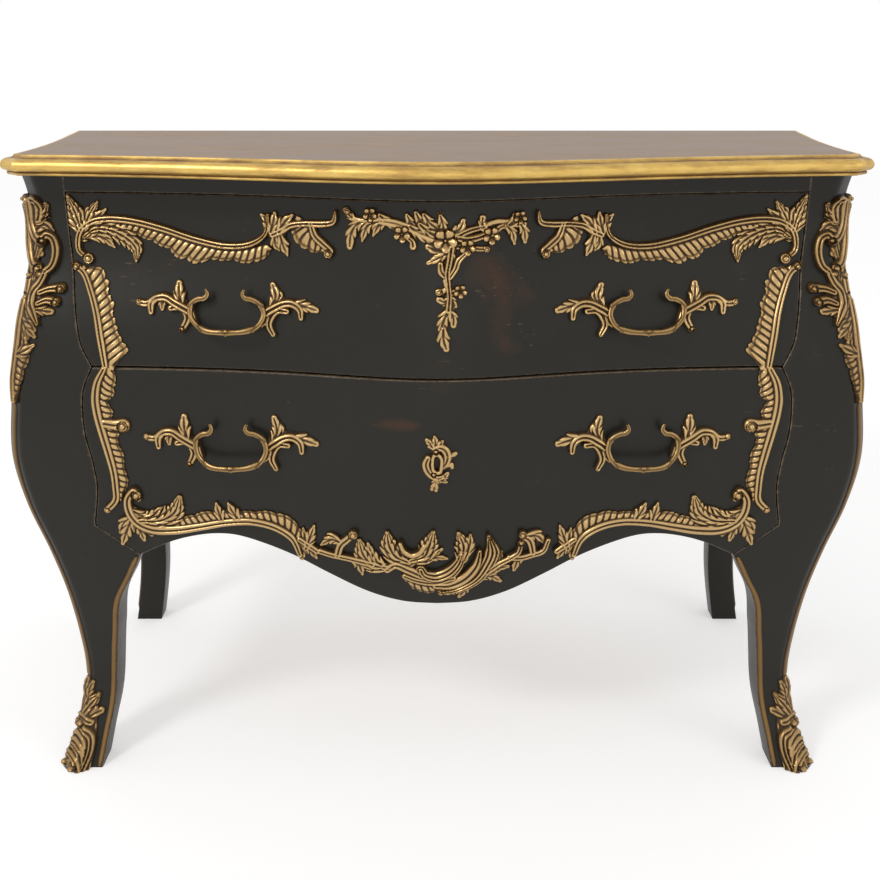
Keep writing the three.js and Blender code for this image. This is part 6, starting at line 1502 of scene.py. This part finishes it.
def leaf_relief(out, t, wide, rise, length):
    """A pointed leaf fluted along its length, with lobes that lean forward along its edge."""
    lobes = max(2, round(length / lobe_pitch))
    lean = lobe_slant * np.minimum(out, 1.2) * wide * lobes / length
    notch = (0.5 - 0.5 * np.cos(2 * math.pi * (lobes * t - lean))) ** 3
    fade = 1 - t ** 6
    lobed = leaf_bulge - leaf_notch * fade * notch
    inner = np.clip(out / lobed, 0, 1)
    cut = 1 - leaf_cut * fade * notch * inner ** 0.7
    flute = 1 - leaf_flute * reed_groove(inner, wide) ** 2
    cup = thin_edge + (1 - thin_edge) * (1 - inner ** 2) ** 0.5
    return (lobed - out) * wide, rise * (1 - t * t / 2) * cup * cut * flute


def fringe_relief(out, t, wide, rise, length, past_end):
    """A ribbed leaf on one side of a line; its edge is scalloped, and three ribs fill a scallop."""
    barbs = max(2, round(length / leaflet_pitch))
    phase = 2 * math.pi * (barbs * t - barb_slant * np.clip(out, 0, 1.3) * wide * barbs / length)
    notch = (0.5 - 0.5 * np.cos(phase)) ** 3
    scallop = (0.5 - 0.5 * np.cos(phase / barbs_in_scallop)) ** 2
    edge = fringe_bulge - scallop_depth * scallop - notch_depth * notch
    inner = np.clip(out / edge, 0, 1)
    swell = np.sin(math.pi * np.minimum(1, inner * 1.2 + 0.05)) ** 0.8
    cross = thin_edge + (1 - thin_edge) * swell
    barb = 1 - barb_groove * notch
    inside = np.minimum((edge - out) * wide, out * wide + 0.5) - past_end
    return inside, rise * cross * barb


def dome_relief(stroke, field, x, z):
    """The same for a bead or a five-petalled flower."""
    centre = in_field(field, [stroke["centre"]])[0]
    radius = stroke["radius"] * stroke_unit
    away = np.hypot(x - centre[0], z - centre[1])
    rise = stroke["rise"] * stroke_unit
    if stroke["kind"] == "bead":
        inner = np.clip(away / radius, 0, 1)
        curl = 1 - curl_depth * np.exp(-((inner - curl_place) / curl_width) ** 2)
        return radius - away, rise * (1 - inner ** 2) ** 0.45 * curl
    petal = np.abs(np.cos(petals / 2 * np.arctan2(z - centre[1], x - centre[0]) + petal_turn))
    edge = radius * (petal_foot + petal_reach * petal ** 0.5)
    inner = np.clip(away / edge, 0, 1)
    cup = (0.2 + 0.8 * inner) * np.clip(1 - inner ** 8, 0, 1) ** 0.5 * (0.45 + 0.55 * petal ** 0.7)
    heart = heart_rise * np.sqrt(np.clip(1 - (away / (heart_share * radius)) ** 2, 0, 1))
    return edge - away, rise * np.maximum(cup, heart)


# %% [markdown]
# Grid points just outside the outline are pulled onto it, the sheet is bent over the furniture,
# and a flat back and a rim close it. The hollow mark compares each height with the average round
# it: it is high in the grooves and low on the crests, and the finish reads it as dirt and painted
# shade in the grooves and as a painted highlight on the crests. The rim is marked darker toward
# its foot, a painted shade where the casting meets the board.

# %% Relief of a whole casting
relief_pitch = 0.8
plate = 1.0
blur_reach = 4
far_outside = -9.0
grid_margin = 3.4
widest_pull = 0.85
least_cover = 0.05
hollow_middle = 0.38
hollow_depth = 1.2
crest_height = 35
rim_dirt_and_shade = 0.3


def box_blur(values, reach):
    """The average over a square window, by running sums along each way."""
    for axis in (0, 1):
        total = np.zeros_like(values)
        for shift in range(-reach, reach + 1):
            total += np.roll(values, shift, axis=axis)
        values = total / (2 * reach + 1)
    return values


def relief_grid(strokes, field):
    """Heights, reach inside the outline, and the coordinates of the grid they are on."""
    places = np.concatenate([
        in_field(field, stroke.get("path", [stroke.get("centre", [0, 0])])) for stroke in strokes])
    margin = grid_margin * stroke_unit
    low, high = places.min(axis=0) - margin, places.max(axis=0) + margin
    xs = np.arange(low[0], high[0], relief_pitch)
    zs = np.arange(low[1], high[1], relief_pitch)
    reach = np.full((len(xs), len(zs)), far_outside)
    height = np.zeros_like(reach)
    for stroke in strokes:
        shape = dome_relief if "centre" in stroke else path_relief
        points = in_field(field, stroke.get("path", [stroke.get("centre", [0, 0])]))
        widest = max(np.max(np.abs(stroke.get("wide", 0))), stroke.get("radius", 0))
        wide = 1.2 * widest * stroke_unit + 3
        i0, j0 = np.floor((points.min(axis=0) - wide - low) / relief_pitch).astype(int)
        i1, j1 = np.ceil((points.max(axis=0) + wide - low) / relief_pitch).astype(int)
        part = np.s_[max(i0, 0):i1, max(j0, 0):j1]
        x, z = np.meshgrid(xs[part[0]], zs[part[1]], indexing="ij")
        inside, raised = shape(stroke, field, x.ravel(), z.ravel())
        inside, raised = inside.reshape(x.shape), raised.reshape(x.shape)
        reach[part] = np.maximum(reach[part], inside)
        under = 0 if "centre" in stroke else height[part]
        height[part] = np.where(inside > 0, np.maximum(under, raised), height[part])
    return xs, zs, reach, height


def relief(strokes, field, surface):
    """A closed casting from its strokes, bent over a surface, and its hollow mark."""
    xs, zs, reach, height = relief_grid(strokes, field)
    x, z = np.meshgrid(xs, zs, indexing="ij")
    inside = reach > 0
    pull_x, pull_z, pulls = np.zeros_like(x), np.zeros_like(x), np.zeros_like(x)
    for axis, step in ((0, 1), (0, -1), (1, 1), (1, -1)):
        neighbour = np.roll(reach, -step, axis=axis)
        crossing = ~inside & (neighbour > 0)
        slide = np.where(crossing, reach / np.where(crossing, reach - neighbour, 1), 0)
        slide = np.clip(slide, 0, widest_pull) * relief_pitch * step
        pull_x += slide * (axis == 0)
        pull_z += slide * (axis == 1)
        pulls += crossing
    x = x + pull_x / np.maximum(pulls, 1)
    z = z + pull_z / np.maximum(pulls, 1)
    used = inside | (pulls > 0)
    covered = box_blur(used.astype(float), blur_reach)
    around = box_blur(np.where(used, height, 0), blur_reach) / np.maximum(covered, least_cover)
    # Painted shade and highlight: points lower than their surroundings get a darker mark, higher ones a
    # lighter one.
    sunk = (around - height) / hollow_depth
    hollow = np.clip(hollow_middle + sunk - height / crest_height, 0, 1)
    # The outline gets a middling dark mark, partly dirt and partly painted shade.
    hollow = np.where(pulls > 0, rim_dirt_and_shade, hollow)
    number = np.cumsum(used.ravel()).reshape(used.shape) - 1
    corners = [(0, 0), (1, 0), (1, 1), (0, 1)]
    cut = [np.s_[a:used.shape[0] - 1 + a, b:used.shape[1] - 1 + b] for a, b in corners]
    held = np.stack([used[part] for part in cut], axis=-1)
    solid = np.stack([inside[part] for part in cut], axis=-1).any(axis=-1)
    ids = np.stack([number[part] for part in cut], axis=-1)
    count = held.sum(axis=-1)
    faces = ids[solid & (count == 4)].tolist()
    threes = solid & (count == 3)
    faces += [[i for i, keep in zip(quad, flags) if keep]
              for quad, flags in zip(ids[threes].tolist(), held[threes].tolist())]
    top = surface(x[used], z[used], plate + np.where(pulls > 0, 0, height)[used])
    ground = surface(x[used], z[used], np.zeros(used.sum()))
    total = len(top)
    edges = {(a, b) for face in faces for a, b in zip(face, face[1:] + face[:1])}
    rim = [[b, a, a + total, b + total] for a, b in edges if (b, a) not in edges]
    rear = [[i + total for i in face[::-1]] for face in faces]
    points = np.concatenate([top, ground])
    # The back and the foot of the rim are marked fully dark, a painted shade against the board.
    marks = np.concatenate([hollow[used], np.ones(total)])
    return (points, outward(points, faces + rear + rim)), marks


# %% Lay the castings on the drawers
def casting(name, shape, body, node, marks, crease=50):
    make_piece(name, shape, gilt, body, [node], "gilt", crease, hollow=marks)


def both_hands(name, shape, body, node, marks):
    """The casting as drawn and its mirror image; drawn is left on the front, right on a corner."""
    first, second = ("left", "right") if node not in ("chute_mount", "sabot") else ("right", "left")
    casting(name + "_" + first, shape, body, node + "_" + first, marks)
    casting(name + "_" + second, other_side(shape), body, node + "_" + second, marks)


for piece_name, strokes, field, body, node in (
        ("gilt_frieze_leaves", frieze_strokes, frieze_field, "top_drawer", "frieze_mount"),
        ("gilt_upper_feather", upper_feather_strokes, upper_feather_field, "top_drawer",
         "top_feather_mount"),
        ("gilt_lower_feather", lower_feather_strokes, lower_feather_field, "bottom_drawer",
         "bottom_feather_mount"),
        ("gilt_apron_scroll", scroll_strokes, scroll_field, "bottom_drawer", "scroll_mount")):
    shape, marks = relief(strokes, field, on_front)
    both_hands(piece_name, shape, body, node, marks)
for piece_name, strokes, field, body, node in (
        ("gilt_garland", garland_strokes, garland_field, "top_drawer", "garland_mount"),
        ("gilt_cartouche", cartouche_strokes, cartouche_field, "bottom_drawer", "cartouche_mount"),
        ("gilt_escutcheon", escutcheon_strokes, escutcheon_field, "bottom_drawer", "escutcheon")):
    shape, marks = relief(strokes, field, on_front)
    casting(piece_name, shape, body, node, marks)

# %% [markdown]
# Chutes hang from the top of each corner and sabots shoe the feet. They are cast to wrap the
# canted corner, so their strokes are drawn across it and bent round it. Their hollow mark is
# raised, so they come out darker and browner overall than the mounts on the front.

# %% Lay the castings on the corners
corner_darkening = 0.16
for piece_name, strokes, field, node in (
        ("gilt_chute", chute_strokes, chute_field, "chute_mount"),
        ("gilt_sabot", sabot_strokes, sabot_field, "sabot")):
    (points, faces), marks = relief(strokes, field, on_corner)
    points[:, 2] = np.maximum(points[:, 2], 0)
    # The corner castings' hollow mark is raised by a fixed amount, so they render darker and browner.
    marks = np.clip(marks + corner_darkening, 0, 1)
    both_hands(piece_name, (points, faces), "carcase", node, marks)

# %% [markdown]
# Each handle is a pair of leafy ends and a bail that stands out between them, where fingers go
# behind it. The bail is a rod pushed along a curve whose every point has a place on the front and
# a height off it. Two screws hold the handle, with a washer and a square nut inside the drawer.

# %% Handles
bail_section = np.linspace(0, 2 * math.pi, 17)[:-1]
wraps = 6
bail_reeds = 4
bail_levels = 260
bail_girth = 0.9
lap_swell, lap_stagger = 0.2, 0.1
lap_dirt_and_shade, lap_dirt_and_shade_fall = 0.5, 2.5
bail_groove, groove_dirt_and_shade = 0.12, 0.4
screw_hollow = 0.4
screw_radius = 3
screw_reach = 8
washer_radius = 8
washer_thickness = 1.5
washer_seat = 1
nut_radius = 6.5
nut_thickness = 4


def bail(field):
    """A rod wrapped in leaves: a pointed leaf laps over the next one all along it."""
    route = np.array(bail_shares)
    across = in_field(field, route[:, :2])
    points = np.stack([across[:, 0], route[:, 2] * stroke_unit, across[:, 1]], axis=1)
    line = smooth_line(points, bail_levels)
    share = np.linspace(0, 1, len(line))
    radius = np.interp(share, np.linspace(0, 1, len(route)), route[:, 3]) * stroke_unit
    way = np.gradient(line, axis=0)
    way /= np.hypot(way[:, 0], way[:, 2])[:, None]
    rings, marks = [], []
    for angle in bail_section:
        turned = np.abs(share - 0.5) * wraps + lap_stagger * math.cos(3 * angle)
        lap = turned % 1
        line_depth = (0.5 + 0.5 * math.cos(bail_reeds * angle)) ** 2
        swell = radius * (bail_girth + lap_swell * lap ** 2 - bail_groove * line_depth)
        side_step, lift = swell * math.cos(angle), line[:, 1] + swell * math.sin(angle)
        rings.append(on_front(line[:, 0] - way[:, 2] * side_step,
                              line[:, 2] + way[:, 0] * side_step, lift))
        # Dirt and painted shade: dark where each leaf tucks under the one before it and in the lines
        # between reeds.
        marks.append(np.clip(lap_dirt_and_shade - lap_dirt_and_shade_fall * lap, 0.1, 1) + groove_dirt_and_shade * line_depth)
    return loft(np.stack(rings, axis=1)), np.stack(marks, axis=1)


def rod(centre, radius, back, face, sides=24, chamfer=0.6):
    """A short round or square bar that runs front to back, with eased ends."""
    angles = np.linspace(0, 2 * math.pi, sides + 1)[:-1] + math.pi / sides
    stations = ((back, radius - chamfer), (back + chamfer, radius),
                (face - chamfer, radius), (face, radius - chamfer))
    rings = [place(centre[0] + r * np.cos(angles), np.full(sides, depth), centre[1] + r * np.sin(angles))
             for depth, r in stations]
    return loft(np.stack(rings))


def handle(field):
    ends, end_marks = relief(handle_strokes, field, on_front)
    loop, loop_marks = bail(field)
    shapes, marks = [ends, loop], [end_marks, loop_marks.ravel()]
    for centre in in_field(field, screw_shares):
        face = float(front_depth(centre[0], centre[1]))
        inside = face - front_thickness
        stud = rod(centre, screw_radius, inside - screw_reach, face + stroke_unit / 2)
        washer = rod(centre, washer_radius, inside - washer_thickness, inside + washer_seat)
        nut = rod(centre, nut_radius, inside - washer_thickness - nut_thickness,
                  inside - washer_thickness, 4)
        for part in (stud, washer, nut):
            shapes.append(part)
            marks.append(np.full(len(part[0]), screw_hollow))
    return together(*shapes), np.concatenate(marks)


for drawer, field in (("top", upper_handle_field), ("bottom", lower_handle_field)):
    shape, marks = handle(field)
    both_hands("gilt_handle_" + drawer, shape, drawer + "_drawer", drawer + "_handle", marks)

# %% [markdown]
# The floor is a plain white sheet. The world lights everything evenly, a little below full white;
# the camera and the gilding see it as white. Three weak lamps make up the light and give the
# forms a direction: high on the left, right, and low in front.

# %% Floor, lamps and world
floor_half = 8
floor_glow = 0.4
diffuse_world = 0.78


def looked_at(holder):
    """1 on rays from the camera, from the gilding or through glass; 0 on rays that light things."""
    rays = add(holder, "LightPath").outputs
    shiny = add(holder, "Math", {0: rays["Is Glossy Ray"], 1: rays["Is Transmission Ray"]},
                operation="MAXIMUM")
    return add(holder, "Math", {0: rays["Is Camera Ray"], 1: shiny}, operation="MAXIMUM")


floor_mesh = bpy.data.meshes.new("floor")
floor_mesh.from_pydata([(-floor_half, -floor_half, 0), (floor_half, -floor_half, 0),
                        (floor_half, floor_half, 0), (-floor_half, floor_half, 0)], [], [(0, 1, 2, 3)])
floor = bpy.data.objects.new("floor", floor_mesh)
bpy.context.scene.collection.objects.link(floor)
floor_finish, floor_shader = finish(
    "white_paper", Roughness=1.0, Base_Color=linear("#dcdcdc"), Specular_IOR_Level=0.1,
    Emission_Color=linear("#ffffff"))
paper_glow = add(floor_finish, "Math", {0: looked_at(floor_finish), 1: floor_glow},
                 operation="MULTIPLY")
feed(floor_finish, floor_shader, Emission_Strength=paper_glow)
floor_mesh.materials.append(floor_finish)


def lamp(name, position, aim, size, power):
    """A rectangular lamp that looks at a point; its size in metres, its power in watts."""
    data = bpy.data.lights.new(name, "AREA")
    data.shape = "RECTANGLE"
    data.size, data.size_y = size
    data.energy = power
    held = bpy.data.objects.new(name, data)
    held.location = position
    way = [a - p for a, p in zip(aim, position)]
    held.rotation_euler = (math.atan2(math.hypot(way[0], way[1]), -way[2]), 0,
                           math.atan2(way[1], way[0]) - math.pi / 2)
    bpy.context.scene.collection.objects.link(held)
    return held


lamp("high_left", position=(-2.2, -2.2, 3.0), aim=(0, 0, 0.5), size=(0.9, 0.7), power=42)
lamp("right_fill", position=(2.8, -1.6, 1.8), aim=(0, 0, 0.5), size=(1.2, 1.2), power=9)
lamp("low_front", position=(0.2, -3.6, 1.2), aim=(0, 0, 0.45), size=(1.6, 0.8), power=6)
print("lamps", [held.name for held in bpy.data.lights])

world = bpy.data.worlds.new("studio")
bpy.context.scene.world = world
world.use_nodes = True
backdrop = world.node_tree.nodes["Background"]
strength = add(world, "Math", {0: looked_at(world), 1: diffuse_world}, operation="MAXIMUM")
feed(world, backdrop, Strength=strength)
backdrop.inputs["Color"].default_value = linear("#ffffff")
bpy.context.scene.view_settings.view_transform = "Standard"
